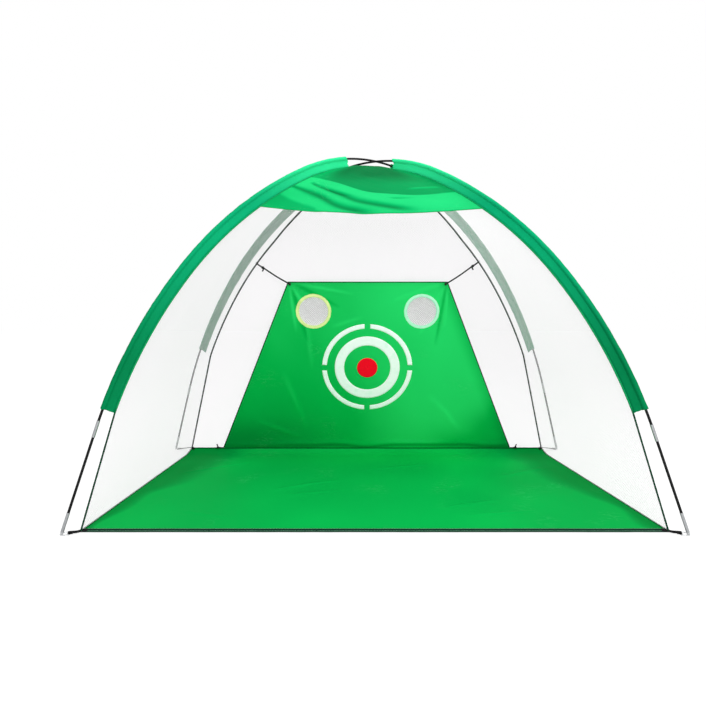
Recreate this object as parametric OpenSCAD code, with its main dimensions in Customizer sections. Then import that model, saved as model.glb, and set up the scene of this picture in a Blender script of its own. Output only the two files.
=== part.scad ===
// Golf chipping net: two crossed spring poles hold up a cage of netting with a roof panel,
// a ground mat and a target sheet with two ball pockets.
// Millimetres. X runs across the mouth, Y into the cage and Z up.
// The origin is on the floor under the crossing of the poles.

/* [Overall] */
// Left foot to right foot, between the pole axes
foot_span = 2000; // [1920:10:2100]
// Front foot to back foot, between the pole axes
foot_depth = 1000; // [940:10:1100]
// Floor to the top of the crossing poles
height = 1360; // [1310:10:1410]

/* [Poles] */
// Diameter of a fibreglass rod
rod_d = 8.5; // [7.5:0.5:9.5]
// Bore of a rod
rod_bore = 4.4; // [4.2:0.1:5]
// Elastic cord that runs through a pole
shock_cord_d = 3.6; // [3:0.1:3.8]
// Slope of a pole at the end of its crown rod
crown_angle = 29; // [27:0.5:31]
// Slope at the end of the next rod
shoulder_angle = 54; // [52:0.5:56]
// Slope of the straight leg
leg_angle = 73.4; // [72.8:0.1:74.5]
// Length of a steel joint sleeve
ferrule_len = 55; // [40:5:60]
// Wall of the steel joint sleeves and end tips
steel_wall = 0.7; // [0.5:0.1:1.2]

/* [Feet] */
// Length of a steel end tip
tip_len = 60; // [52:2:72]
// Depth of the rod in its end tip
tip_socket = 20; // [14:1:24]
// Steel left between the rod and the pin in an end tip
tip_web = 3; // [2:0.5:4]
// Distance from the floor to an end tip, along the leg
tip_lift = 12; // [11.5:0.5:15]
// Diameter of a pin
pin_d = 6; // [5:0.5:6.5]
// Length of a pin inside its end tip
pin_len = 26; // [18:1:28]
// Thickness of the collar on a pin
collar_t = 2; // [1.5:0.5:2]
// Outer radius of the eye on a pin
eye_r = 4.6; // [4.2:0.1:4.8]
// Thickness of the eye
eye_t = 3; // [2:0.5:4]
// Wire of a foot ring
ring_wire = 2.5; // [2:0.1:2.8]
// Straight side of a foot ring
ring_side = 8; // [5:1:12]
// Width of the corner webbing
strap_w = 20; // [15:1:25]
// Thickness of the corner webbing
strap_t = 2; // [1.5:0.1:2.2]

/* [Pole sleeves] */
// Width of the flat cloth band inside the pole
sleeve_w = 36; // [28:1:42]
// Thickness of the flat band
sleeve_band = 2; // [1.5:0.5:3]
// Thickness of the cloth round the pole
sleeve_wall = 1.2; // [0.8:0.2:2]
// Distance from the crossing to the upper end of a sleeve, along the pole
sleeve_top = 105; // [95:5:130]
// Bare pole above a front foot
bare_front = 405; // [360:5:440]
// Bare pole above a back foot
bare_back = 555; // [500:5:600]

/* [Netting] */
// Diameter of the rolled seam tape along the net edges
seam_d = 5; // [4:0.5:6]
// Distance from the back poles to the back seams, low down
back_seam_drop = 72; // [60:2:84]
// Thickness of a net
net_t = 3; // [2:0.5:4]

/* [Roof panel] */
// Distance from the crossing to the front edge of the roof, along the pole
roof_reach = 550; // [480:10:620]
// Thickness of the roof cloth
roof_t = 2; // [1.5:0.5:3]
// Sag of the front edge at its middle
roof_sag = 26; // [16:2:36]
// Rise of the cloth under the crossing
roof_rise = 22; // [16:2:26]
// Depth of the folds
fold_depth = 7; // [4:1:10]
// Number of folds
fold_count = 3; // [2:1:4]

/* [Ground mat] */
// Distance from a front foot to the front corner of the mat
mat_front_gap = 48; // [40:1:60]
// Distance from a back foot to the back corner of the mat
mat_back_gap = 106; // [90:2:120]
// Thickness of the mat
mat_t = 2.5; // [2:0.5:3]
// Width of the webbing along the front edge
hem_w = 25; // [20:1:30]
// Thickness of that webbing
hem_t = 3; // [2:0.5:4]
// Width of the tape round the other edges
tape_w = 8; // [6:1:10]
// Thickness of that tape
tape_t = 3.5; // [3:0.5:4.5]
// Height that the nets lift the back edge to
back_lift = 18; // [12:1:24]
// Length of mat that curves up to it
lift_len = 82; // [70:2:100]

/* [Target] */
// Width of the sheet along the mat
sheet_bottom = 1470; // [1400:10:1500]
// Width of the sheet at the top
sheet_top = 756; // [700:4:780]
// Length of the sheet up its slope
sheet_len = 860; // [820:5:880]
// Thickness of the sheet
sheet_t = 2; // [1.5:0.5:2.5]
// Forward lean of the sheet
sheet_lean = 12.9; // [11:0.1:14]
// Radius of the rolled hem along the bottom of the sheet
roll_r = 1.5; // [1.3:0.1:2]
// Height of the bullseye above the bottom of the sheet
bull_up = 434; // [410:2:450]
// Outer radius of the broken ring
outer_ring_r = 222; // [210:1:235]
// Width of the broken ring
outer_ring_w = 23; // [18:1:28]
// Width of the breaks in it
ring_break = 28; // [20:1:34]
// Outer radius of the whole ring
inner_ring_r = 160; // [150:1:170]
// Width of the whole ring
inner_ring_w = 46; // [40:1:52]
// Radius of the red dot
dot_r = 50.5; // [40:0.5:60]
// Thickness of the printed film
film_t = 0.4; // [0.2:0.1:0.8]

/* [Ball pockets] */
// Distance from the middle of the sheet to a pocket
pocket_x = 260; // [250:1:275]
// Height of a pocket above the bottom of the sheet
pocket_up = 718; // [712:1:730]
// Radius of the hole
pocket_r = 70; // [62:1:72]
// Width of the rim tape
rim_w = 15; // [10:1:16]
// Thickness of the rim tape
rim_t = 1.5; // [1:0.5:2]
// Depth of the pocket net
pocket_depth = 42; // [34:1:46]
// Thickness of the pocket net
pocket_t = 2; // [1.5:0.5:3]

/* [Ties] */
// Diameter of a tie cord
tie_d = 4; // [3:0.5:5]
// Diameter of a knot
knot_d = 9; // [7:1:11]
// Distance from the crossing to a top tie, along the pole
tie_reach = 752; // [730:2:770]
// Distance from the seam to the knot of a top tie
knot_back = 32; // [24:2:40]
// Distance from the sheet to the knot of a bottom tie
bottom_tie = 28; // [20:2:36]
// Length of the loose end of a bottom tie
tail_len = 16; // [10:1:22]

/* [Fits] */
// Slip fit of rods and pins in the end tips, on the radius
slip_fit = 0.05; // [0.03:0.01:0.1]
// Fit of the bent rods in their joint sleeves, on the radius
joint_fit = 0.25; // [0.22:0.01:0.3]
// Clearance beside soft pieces
soft_gap = 0.3; // [0.3:0.05:0.5]

/* [Hidden] */
$fn = 48;
// Facets of a whole turn on the large bends
ARC_FN = 240;
// How far a cut runs past the surface it opens
CUT = 1;
// Place of the foot rods, counted from the crown rod
FOOT = 3;

CORNERS = ["front_left", "front_right", "back_left", "back_right"];
POLES = ["pole_a", "pole_b"];
SIDES = ["left", "right"];

// ---- Pole path, in the pole's own upright plane: one bend a rod, then the straight foot rod ----
half_span = norm([foot_span, foot_depth]) / 2;
azimuth = atan2(foot_depth, foot_span);
pole_h = [height - rod_d / 2, height - rod_d * 1.5 - soft_gap];
DEG = 180 / PI;
slopes = [0, crown_angle, shoulder_angle, leg_angle];

// How far a bent rod of length 1 turns, and how far out and down it goes; the crown rod counts half
function turn(k) = (slopes[k + 1] - slopes[k]) * (k == 0 ? 2 : 1) / DEG;
function run(k) = [sin(slopes[k + 1]) - sin(slopes[k]), cos(slopes[k]) - cos(slopes[k + 1])] / turn(k);
bent_run = run(0) + run(1) + run(2);
run_det = bent_run[0] * sin(leg_angle) - bent_run[1] * cos(leg_angle);

// Lengths of a bent rod and of the straight leg that carry the path from the crown to the foot
function rod_len(h) = (half_span * sin(leg_angle) - h * cos(leg_angle)) / run_det;
function leg_len(h) = (bent_run[0] * h - bent_run[1] * half_span) / run_det;
function leg_start(h) = 2.5 * rod_len(h);
function half_len(h) = leg_start(h) + leg_len(h);
function bend_radius(h, k) = rod_len(h) / turn(k);
function bend_start(h, k) = k == 0 ? 0 : (k - 0.5) * rod_len(h);
function bend_centre(h, k) = k == 0 ? [0, h - bend_radius(h, 0)]
    : bend_centre(h, k - 1)
        + (bend_radius(h, k - 1) - bend_radius(h, k)) * [sin(slopes[k]), cos(slopes[k])];
function bend_at(h, s) = s < bend_start(h, 1) ? 0 : s < bend_start(h, 2) ? 1 : 2;
function slope_at(h, s) = let (k = bend_at(h, s))
    min(leg_angle, slopes[k] + (s - bend_start(h, k)) / bend_radius(h, k) * DEG);

// Point of the path [outward, up] at distance s from the crown, moved inward by drop
function path_at(h, s, drop = 0) = let (k = bend_at(h, s), a = slope_at(h, s))
    bend_centre(h, k) + (bend_radius(h, k) - drop) * [sin(a), cos(a)]
        + max(0, s - leg_start(h)) * [cos(a), -sin(a)];

// Distances from a to b, close enough for chords of the bends to stay within sag of them
function stops(h, a, b, sag) = let (
        last = min(b, leg_start(h)),
        joints = [for (s = [a, each [for (k = [1, 2]) bend_start(h, k)], last])
            if (s >= a && s <= last) s])
    [for (k = [0:len(joints) - 2]) let (
            span = joints[k + 1] - joints[k],
            r = bend_radius(h, bend_at(h, (joints[k] + joints[k + 1]) / 2)),
            n = ceil(span / sqrt(8 * r * sag)))
        each [for (i = [0:n - 1]) joints[k] + span * i / n],
     last, if (b > last) b];

// Sweeps a flat profile along a bend, from one slope to another
module along_arc(centre, radius, from, to) {
    translate([centre[0], 0, centre[1]])
        rotate([90, 0, 0])
            rotate([0, 0, 90 - to])
                rotate_extrude(angle = to - from, $fn = ARC_FN)
                    translate([radius, 0])
                        children();
}

// Sweeps a flat profile along rod m, counted from the crown rod outward
module along_rod(h, m) {
    if (m < FOOT)
        along_arc(bend_centre(h, m), bend_radius(h, m), m == 0 ? -slopes[1] : slopes[m], slopes[m + 1])
            children();
    else
        at_slope(h, leg_start(h)) linear_extrude(rod_end(h) - leg_start(h)) children();
}

// Turns +Z along the path, away from the crown, at distance s
module at_slope(h, s) {
    start = path_at(h, s);
    translate([start[0], 0, start[1]]) rotate([0, 90 + slope_at(h, s), 0]) children();
}

// ---- Corners and poles in the plan ----
function is_front(c) = c == "front_left" || c == "front_right";
function is_left(c) = c == "front_left" || c == "back_left";
function pole_of(c) = c == "front_left" || c == "back_right" ? 0 : 1;
function corner_h(c) = pole_h[pole_of(c)];
function corner_turn(c) = is_front(c) ? (is_left(c) ? 180 + azimuth : -azimuth)
                                      : (is_left(c) ? 180 - azimuth : azimuth);
function in_plan(c, p) = [
    (is_left(c) ? -1 : 1) * p[0] * cos(azimuth),
    (is_front(c) ? -1 : 1) * p[0] * sin(azimuth),
    p[1]
];

module at_corner(c) rotate([0, 0, corner_turn(c)]) children();
module at_pole(p) rotate([0, 0, p == 0 ? azimuth : 180 - azimuth]) children();
module at_foot(c) at_corner(c) translate([half_span, 0, 0]) rotate([0, leg_angle - 90, 0]) children();

// ---- Poles ----
ferrule_d = rod_d + 2 * (joint_fit + steel_wall);
tip_d = rod_d + 2 * (slip_fit + steel_wall);
function rod_end(h) = half_len(h) - tip_lift - tip_len + tip_socket;

module tube_profile(outer, inner) {
    difference() {
        circle(d = outer);
        circle(d = inner);
    }
}

module rod(p, n) {
    m = n - FOOT - 1;
    color([0.06, 0.06, 0.065])
        at_pole(p)
            mirror([m < 0 ? 1 : 0, 0, 0])
                along_rod(pole_h[p], abs(m)) tube_profile(rod_d, rod_bore);
}

// A joint sleeve takes the mean of the bends of its two rods
module ferrule(h, k) {
    next = k < FOOT ? 1 / bend_radius(h, k) : 0;
    radius = 2 / (1 / bend_radius(h, k - 1) + next);
    slope = slopes[k];
    half_turn = ferrule_len / 2 / radius * DEG;
    along_arc(path_at(h, bend_start(h, k)) - radius * [sin(slope), cos(slope)], radius,
              slope - half_turn, slope + half_turn)
        tube_profile(ferrule_d, rod_d + 2 * joint_fit);
}

module ferrules(p) {
    color([0.62, 0.63, 0.64])
        at_pole(p)
            for (k = [1:FOOT], side = [0, 1])
                mirror([side, 0, 0]) ferrule(pole_h[p], k);
}

pin_bore_len = tip_len - tip_socket - tip_web;
cord_hole_d = shock_cord_d + 2 * soft_gap;

module end_tip() {
    translate([0, 0, tip_lift])
        difference() {
            cylinder(d = tip_d, h = tip_len);
            translate([0, 0, -CUT]) cylinder(d = pin_d + 2 * slip_fit, h = pin_bore_len + CUT);
            cylinder(d = cord_hole_d, h = tip_len);
            translate([0, 0, tip_len - tip_socket])
                cylinder(d = rod_d + 2 * slip_fit, h = tip_socket + CUT);
        }
}

module end_tips(p) {
    color([0.62, 0.63, 0.64])
        for (c = CORNERS)
            if (pole_of(c) == p) at_foot(c) end_tip();
}

cord_knot_r = min(pin_d / 2, cord_hole_d / 2 + 0.7);
cord_sag = 0.3;

// Elastic cord inside a pole, thickened to a knot in the bore of each end tip
module shock_cord(p) {
    h = pole_h[p];
    knot_from = rod_end(h) + tip_web + soft_gap;
    half = [for (s = stops(h, 0, knot_from, cord_sag)) [s, shock_cord_d / 2],
        [knot_from + soft_gap, cord_knot_r], [knot_from + cord_knot_r, cord_knot_r]];
    runs = concat([for (k = [len(half) - 1:-1:1]) [-half[k][0], half[k][1]]], half);
    color([0.9, 0.9, 0.88])
        at_pole(p)
            tube_through(
                [for (r = runs) let (q = path_at(h, abs(r[0]))) [sign(r[0]) * q[0], 0, q[1]]],
                [for (r = runs) r[1]], [0, 1, 0]);
}

// ---- Feet: pin, ring and webbing ----
eye_up = eye_r / sin(leg_angle);
eye_out = half_span - eye_up * cos(leg_angle);
ring_z = strap_t + soft_gap + ring_wire / 2;
eye_hole_r = eye_r - ring_z + ring_wire / 2 + soft_gap;
ring_bend = (strap_w + 1 + ring_wire) / 2;
bar_out = eye_out - ring_bend - ring_side;

// Shaft of a pin, with its collar and tapered end
module pin_shaft() {
    collar_z = tip_lift - soft_gap;
    shaft_r = pin_d / 2;
    rotate_extrude()
        polygon([
            [0, eye_up], [shaft_r, eye_up], [shaft_r, collar_z - collar_t], [tip_d / 2, collar_z - collar_t],
            [tip_d / 2, collar_z], [shaft_r, collar_z], [shaft_r, tip_lift + pin_len],
            [shaft_r * 0.6, tip_lift + pin_len + shaft_r * 0.4], [0, tip_lift + pin_len + shaft_r * 0.4]
        ]);
}

module pin(c) {
    color([0.7, 0.71, 0.72])
        at_foot(c)
            difference() {
                union() {
                    pin_shaft();
                    translate([0, eye_t / 2, eye_up]) rotate([90, 0, 0]) cylinder(r = eye_r, h = eye_t);
                }
                translate([0, eye_r + CUT, eye_up])
                    rotate([90, 0, 0])
                        cylinder(r = eye_hole_r, h = 2 * (eye_r + CUT));
            }
}

module ring(c) {
    color([0.7, 0.71, 0.72])
        at_corner(c)
            translate([bar_out, 0, ring_z]) {
                rotate([90, 0, 0]) cylinder(d = ring_wire, h = 2 * ring_bend, center = true);
                for (side = [-1, 1])
                    translate([0, side * ring_bend, 0]) {
                        sphere(d = ring_wire);
                        rotate([0, 90, 0]) cylinder(d = ring_wire, h = ring_side);
                    }
                translate([ring_side, 0, 0])
                    rotate([0, 0, -90])
                        rotate_extrude(angle = 180)
                            translate([ring_bend, 0])
                                circle(d = ring_wire);
            }
}

// Outline of a strip that follows points in its own plane
function strip(points, t) = concat(
    [for (p = points) p - [0, t / 2]],
    [for (k = [len(points) - 1:-1:0]) points[k] + [0, t / 2]]
);

loop_r = ring_wire / 2 + soft_gap;
function mat_corner(c) = [
    half_span - (is_front(c) ? mat_front_gap : mat_back_gap),
    is_front(c) ? hem_t / 2 : back_lift + mat_t / 2
];

module strap(c) {
    start = mat_corner(c) + [soft_gap, is_front(c) ? 0 : strap_t / 2];
    meet = [bar_out - loop_r - strap_t / 2, ring_z];
    color([0.08, 0.08, 0.085])
        at_corner(c)
            rotate([90, 0, 0])
                linear_extrude(strap_w, center = true)
                    difference() {
                        union() {
                            polygon(strip([start, [start[0] + 6, start[1]], meet], strap_t));
                            translate([bar_out, ring_z]) circle(r = loop_r + strap_t);
                        }
                        translate([bar_out, ring_z]) circle(r = loop_r);
                    }
}

// ---- Pole sleeves ----
sleeve_sides = 8;
bore_r = ferrule_d / 2 + soft_gap;
sleeve_r = bore_r / cos(180 / sleeve_sides) + sleeve_wall;

// Section of a sleeve as [inward, across]: round, with a flat band on its inward side
band_root = sqrt(pow(sleeve_r, 2) - pow(sleeve_band / 2, 2));
sleeve_outer = [
    for (k = [0:sleeve_sides / 2 - 1]) sleeve_r * [-cos(360 * k / sleeve_sides), sin(360 * k / sleeve_sides)],
    [band_root, sleeve_band / 2], [sleeve_w, sleeve_band / 2],
    [sleeve_w, -sleeve_band / 2], [band_root, -sleeve_band / 2],
    for (k = [sleeve_sides / 2 + 1:sleeve_sides - 1])
        sleeve_r * [-cos(360 * k / sleeve_sides), sin(360 * k / sleeve_sides)]
];
sleeve_inner = [for (k = [0:sleeve_sides - 1])
    bore_r / cos(180 / sleeve_sides) * [-cos(360 * k / sleeve_sides), sin(360 * k / sleeve_sides)]];

// Inner point that outer point k lies over; the four points of the band share one
function inner_of(k) = min(k, sleeve_sides / 2) + max(0, k - sleeve_sides / 2 - 3);

module sleeve(c) {
    h = corner_h(c);
    ss = stops(h, sleeve_top, half_len(h) - (is_front(c) ? bare_front : bare_back), soft_gap * 0.8);
    outer = len(sleeve_outer);
    both = outer + sleeve_sides;
    last = len(ss) - 1;
    points = [for (s = ss, q = concat(sleeve_outer, sleeve_inner)) let (p = path_at(h, s, q[0]))
        [p[0], q[1], p[1]]];
    walls = [for (k = [0:last - 1]) let (n = k * both) each concat(
        [for (a = [0:outer - 1]) let (b = (a + 1) % outer)
            each [[n + a, n + b, n + both + a], [n + b, n + both + b, n + both + a]]],
        [for (a = [0:sleeve_sides - 1]) let (i = outer + a, j = outer + (a + 1) % sleeve_sides)
            each [[n + i, n + both + i, n + j], [n + j, n + both + i, n + both + j]]])];
    function cap(n, a) = let (
            b = (a + 1) % outer,
            i = n + outer + inner_of(a) % sleeve_sides,
            j = n + outer + inner_of(b) % sleeve_sides)
        concat([[n + a, i, n + b]], i == j ? [] : [[n + b, i, j]]);
    start_cap = [for (a = [0:outer - 1]) each cap(0, a)];
    end_cap = [for (a = [0:outer - 1], f = cap(last * both, a)) [f[2], f[1], f[0]]];
    color([0.04, 0.6, 0.35])
        at_corner(c)
            polyhedron(points = points, faces = concat(walls, start_cap, end_cap), convexity = 8);
}

// ---- Seams: where two nets and a sleeve are sewn together ----
seam_steps = 26;
top_drop = sleeve_w + soft_gap + seam_d / 2;
seam_ramp = 500;
function seam_drop(c, s) = is_front(c) ? top_drop
    : top_drop + (back_seam_drop - top_drop) * min(1, (s - sleeve_top) / seam_ramp);
function seam_turn(c) = half_len(corner_h(c)) - (is_front(c) ? bare_front : bare_back);
function seam_foot(c) = is_front(c)
    ? [half_span - mat_front_gap - tape_w, tape_t + soft_gap + seam_d / 2]
    : [half_span - mat_back_gap - tape_w, back_lift + tape_t + soft_gap + seam_d / 2];

// Point of a seam at distance s from the crown: beside the pole, then straight to the mat
function seam_at(c, s) = let (
        h = corner_h(c),
        turn = seam_turn(c),
        share = max(0, s - turn) / (half_len(h) - turn),
        bend = path_at(h, min(s, turn), seam_drop(c, min(s, turn))))
    bend + share * (seam_foot(c) - bend);
function seam_point(c, s) = in_plan(c, seam_at(c, s));
function seam_pos(c, u) = sleeve_top + u * (half_len(corner_h(c)) - sleeve_top);
function seam_way(c, s) = let (d = seam_point(c, s + 1) - seam_point(c, s - 1)) d / norm(d);

// Round tube of short straight runs through points, with a radius at each; side is square to its plane
module tube_through(points, radii, side, sides = 8) {
    last = len(points) - 1;
    rings = [for (k = [0:last]) let (
            way = points[min(k + 1, last)] - points[max(k - 1, 0)],
            up = cross(way, side) / norm(cross(way, side)),
            across = cross(up, way) / norm(cross(up, way)))
        for (a = [0:sides - 1])
            points[k] + radii[k] * (cos(360 * a / sides) * up + sin(360 * a / sides) * across)];
    walls = [for (k = [0:last - 1], a = [0:sides - 1]) let (
            p = k * sides + a,
            q = k * sides + (a + 1) % sides)
        each [[p, p + sides, q], [q, p + sides, q + sides]]];
    start_cap = [[for (a = [0:sides - 1]) a]];
    end_cap = [[for (a = [sides - 1:-1:0]) last * sides + a]];
    polyhedron(points = rings, faces = concat(walls, start_cap, end_cap), convexity = 6);
}

module seam(c) {
    points = [for (k = [0:seam_steps]) seam_point(c, seam_pos(c, k / seam_steps))];
    plane = in_plan(c, [1, 0]);
    color([0.03, 0.3, 0.2])
        tube_through(points, [for (p = points) seam_d / 2], [-plane[1], plane[0], 0]);
}

// ---- Sheets of cloth and net over a grid of points ----
function grid_normal(g, i, j) = let (
        down = g[min(i + 1, len(g) - 1)][j] - g[max(i - 1, 0)][j],
        over = g[i][min(j + 1, len(g[0]) - 1)] - g[i][max(j - 1, 0)],
        n = cross(down, over))
    n / norm(n);

// Closed skin of thickness t over a grid
module skin(g, t) {
    rows = len(g);
    cols = len(g[0]);
    layer = rows * cols;
    function quad(a, b, c, d) = [[a, b, c], [a, c, d]];
    points = [for (side = [1, -1], i = [0:rows - 1], j = [0:cols - 1])
        g[i][j] + side * t / 2 * grid_normal(g, i, j)];
    faces = [for (i = [0:rows - 2], j = [0:cols - 2]) let (
            a = i * cols + j,
            b = a + 1,
            c = b + cols,
            d = a + cols)
        each concat(
            quad(a, b, c, d),
            quad(a + layer, d + layer, c + layer, b + layer),
            i > 0 ? [] : quad(a, a + layer, b + layer, b),
            j < cols - 2 ? [] : quad(b, b + layer, c + layer, c),
            i < rows - 2 ? [] : quad(c, c + layer, d + layer, d),
            j > 0 ? [] : quad(d, d + layer, a + layer, a))];
    polyhedron(points = points, faces = faces, convexity = 10);
}

// Distance from a seam's axis at which a cloth that meets it at an angle just clears it
function seam_clear(way, across) = (seam_d / 2 + soft_gap) / norm(cross(way, across));

// Height of the lowest row of a net over the tape of the mat, at depth y
back_foot = function (y) layer_top(mat_back - tape_w / 2, tape_t) + soft_gap + net_t;
side_foot = function (y) layer_top(min(y, mat_back), tape_t) + soft_gap + net_t;

net_columns = 8;
// Length of seam above the top of a net
net_drop = 12;
function net_pos(c, i) = max(sleeve_top + net_drop, seam_pos(c, i / seam_steps));

// Net stretched straight between two seams, with a row at each facet of the seams; foot lays its
// lowest row along the mat
module net(c1, c2, foot) {
    g = [for (i = [0:seam_steps]) let (
            s1 = net_pos(c1, i),
            s2 = net_pos(c2, i),
            a = seam_point(c1, s1),
            b = seam_point(c2, s2),
            across = (b - a) / norm(b - a),
            start = a + across * seam_clear(seam_way(c1, s1), across),
            end = b - across * seam_clear(seam_way(c2, s2), across))
        [for (j = [0:net_columns]) let (p = start + j / net_columns * (end - start))
            i == seam_steps ? [p[0], p[1], foot(p[1])] : p]];
    color([0.93, 0.94, 0.94])
        skin(g, net_t);
}

// ---- Ground mat ----
front_out = half_span - mat_front_gap;
back_out = half_span - mat_back_gap;
mat_front = -front_out * sin(azimuth);
mat_back = back_out * sin(azimuth);
lift_from = mat_back - lift_len;
lift_radius = (pow(lift_len, 2) + pow(back_lift, 2)) / (2 * back_lift);

// Height of a layer of thickness t above the floor, at depth y
function layer_top(y, t) = y < lift_from ? t
    : lift_radius - sqrt(pow(lift_radius - t, 2) - pow(y - lift_from, 2));

function mat_outline(inset) = [
    [-front_out * cos(azimuth) + inset, mat_front],
    [front_out * cos(azimuth) - inset, mat_front],
    [back_out * cos(azimuth) - inset, mat_back - inset],
    [-back_out * cos(azimuth) + inset, mat_back - inset]
];

// Side view of the mat: flat, then curving up to its back edge
module mat_profile(t) {
    translate([mat_front, 0]) square([lift_from - mat_front, t]);
    translate([lift_from, lift_radius])
        intersection() {
            difference() {
                circle(r = lift_radius, $fn = ARC_FN);
                circle(r = lift_radius - t, $fn = ARC_FN);
            }
            translate([0, -lift_radius]) square([lift_len, lift_radius]);
        }
}

module mat_layer(t) {
    intersection() {
        rotate([90, 0, 90]) linear_extrude(2 * half_span, center = true) mat_profile(t);
        linear_extrude(back_lift * 3) children();
    }
}

// Plan of the mat behind the front webbing, drawn in by inset
module behind_webbing(inset) {
    intersection() {
        polygon(mat_outline(inset));
        translate([-half_span, mat_front + hem_w]) square(2 * half_span);
    }
}

module ground_mat() color([0.06, 0.68, 0.3]) mat_layer(mat_t) behind_webbing(tape_w);

module mat_front_webbing() {
    color([0.05, 0.14, 0.1])
        mat_layer(hem_t)
            intersection() {
                polygon(mat_outline(0));
                translate([-half_span, mat_front]) square([2 * half_span, hem_w]);
            }
}

module mat_edge_tape() {
    color([0.02, 0.35, 0.18])
        mat_layer(tape_t)
            difference() {
                behind_webbing(0);
                polygon(mat_outline(tape_w));
            }
}

// ---- Target: an upright frame that leans with the sheet, with its origin on the bottom hem ----
seat_r = lift_radius - tape_t - roll_r - soft_gap;
seat_angle = asin((lift_len - tape_w / 2) / lift_radius);
hinge_y = lift_from + seat_r * sin(seat_angle);
hinge_z = lift_radius - seat_r * cos(seat_angle);
echo(hinge = [0, hinge_y, hinge_z]);

module on_sheet() translate([0, hinge_y, hinge_z]) rotate([sheet_lean, 0, 0]) children();
function on_sheet_point(p) = [
    p[0],
    hinge_y + p[1] * cos(sheet_lean) - p[2] * sin(sheet_lean),
    hinge_z + p[1] * sin(sheet_lean) + p[2] * cos(sheet_lean)
];
function side_of(s) = s == "left" ? -1 : 1;

// Extrudes a drawing of the sheet's face from depth y0 to y1
module slab(y0, y1) translate([0, y1, 0]) rotate([90, 0, 0]) linear_extrude(y1 - y0) children();
module at_pocket(s) translate([side_of(s) * pocket_x, pocket_up]) children();

module target_sheet() {
    color([0.08, 0.75, 0.35])
        on_sheet() {
            slab(-sheet_t / 2, sheet_t / 2)
                difference() {
                    polygon([
                        [-sheet_bottom / 2, 0], [sheet_bottom / 2, 0],
                        [sheet_top / 2, sheet_len], [-sheet_top / 2, sheet_len]
                    ]);
                    for (s = SIDES) at_pocket(s) circle(r = pocket_r);
                }
            rotate([0, 90, 0]) cylinder(r = roll_r, h = sheet_bottom, center = true);
        }
}

module film() slab(-sheet_t / 2 - film_t, -sheet_t / 2) translate([0, bull_up]) children();

module bullseye_rings() {
    color([0.88, 0.98, 0.94])
        on_sheet()
            film() {
                difference() {
                    circle(r = outer_ring_r);
                    circle(r = outer_ring_r - outer_ring_w);
                    square([ring_break, 3 * outer_ring_r], center = true);
                    square([3 * outer_ring_r, ring_break], center = true);
                }
                difference() {
                    circle(r = inner_ring_r);
                    circle(r = inner_ring_r - inner_ring_w);
                }
            }
}

module bullseye_dot() color([0.96, 0.03, 0.12]) on_sheet() film() circle(r = dot_r);

module pocket_rim(s) {
    color([0.8, 0.95, 0.8])
        on_sheet()
            slab(-sheet_t / 2 - rim_t, -sheet_t / 2)
                at_pocket(s)
                    difference() {
                        circle(r = pocket_r + rim_w);
                        circle(r = pocket_r);
                    }
}

// Pocket net: a shallow bowl behind the hole, with a flange sewn to the sheet
module pocket_net(s) {
    mouth = pocket_r + pocket_t;
    bowl = (pow(mouth, 2) + pow(pocket_depth, 2)) / (2 * pocket_depth);
    color([0.85, 0.85, 0.85])
        on_sheet()
            translate([side_of(s) * pocket_x, sheet_t / 2, pocket_up])
                rotate([-90, 0, 0])
                    rotate_extrude() {
                        intersection() {
                            translate([0, pocket_depth - bowl])
                                difference() {
                                    circle(r = bowl);
                                    circle(r = bowl - pocket_t);
                                }
                            square(2 * mouth);
                        }
                        translate([mouth - pocket_t / 2, 0]) square([rim_w - pocket_t / 2, pocket_t]);
                    }
}

// ---- Ties ----
module straight_cord(a, b, d) {
    way = b - a;
    translate(a)
        rotate([0, acos(way[2] / norm(way)), atan2(way[1], way[0])])
            cylinder(d = d, h = norm(way));
}

// Stations [place along the way, radius] of a knot that swells out of a cord of diameter d
function knot_runs(at, d) = [[at - knot_d / 2, d / 2], [at - knot_d / 4, knot_d / 2],
    [at + knot_d / 4, knot_d / 2], [at + knot_d / 2, d / 2]];

function unit(v) = v / norm(v);

// The cord starts in the corner of the back net and a side net, clear of both and of their seam
module top_tie(s) {
    c = str("back_", s);
    seam_mid = seam_point(c, tie_reach);
    way_down = seam_way(c, tie_reach);
    off_back = unit(cross(way_down, [1, 0, 0]));
    off_side = unit(cross(way_down, side_of(s) * (seam_point(str("front_", s), tie_reach) - seam_mid)));
    clear = net_t / 2 + tie_d / 2 + 2 * soft_gap;
    seam_end = seam_mid + clear / (1 + off_back * off_side) * (off_back + off_side);
    corner = on_sheet_point([
        side_of(s) * (sheet_top / 2 - knot_d),
        -sheet_t / 2 - soft_gap - knot_d / 2,
        sheet_len - knot_d
    ]);
    way = unit(corner - seam_end);
    runs = concat([[0, tie_d / 2]], knot_runs(knot_back, tie_d),
                  knot_runs(norm(corner - seam_end), tie_d));
    color([0.07, 0.07, 0.07])
        tube_through([for (r = runs) seam_end + r[0] * way], [for (r = runs) r[1]], [0, 1, 0]);
}

// Short cords at the ends of the bottom hem, knotted just in front of the back net
module bottom_ties() {
    knot_r = knot_d / 2;
    net_front = back_out * sin(azimuth) - tape_w * sin(azimuth) - net_t / 2;
    knot_y = net_front - soft_gap - knot_r - hinge_y;
    knot_z = knot_r - roll_r;
    color([0.07, 0.07, 0.07])
        for (side = [-1, 1])
            translate([side * (sheet_bottom / 2 + soft_gap), hinge_y, hinge_z])
                union() {
                    rotate([0, side * 90, 0]) cylinder(r = roll_r, h = bottom_tie);
                    translate([side * bottom_tie, knot_y, knot_z]) sphere(r = knot_r);
                    straight_cord(
                        [side * bottom_tie, knot_y, knot_z],
                        [side * (bottom_tie + 3), knot_y - roll_r, knot_r + tail_len], tie_d * 0.7);
                }
}

// ---- Roof panel: slack cloth between the front sleeves, with a cap under the crossing ----
roof_rows = 14;
cap_rows = 3;
roof_columns = 24;

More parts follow.
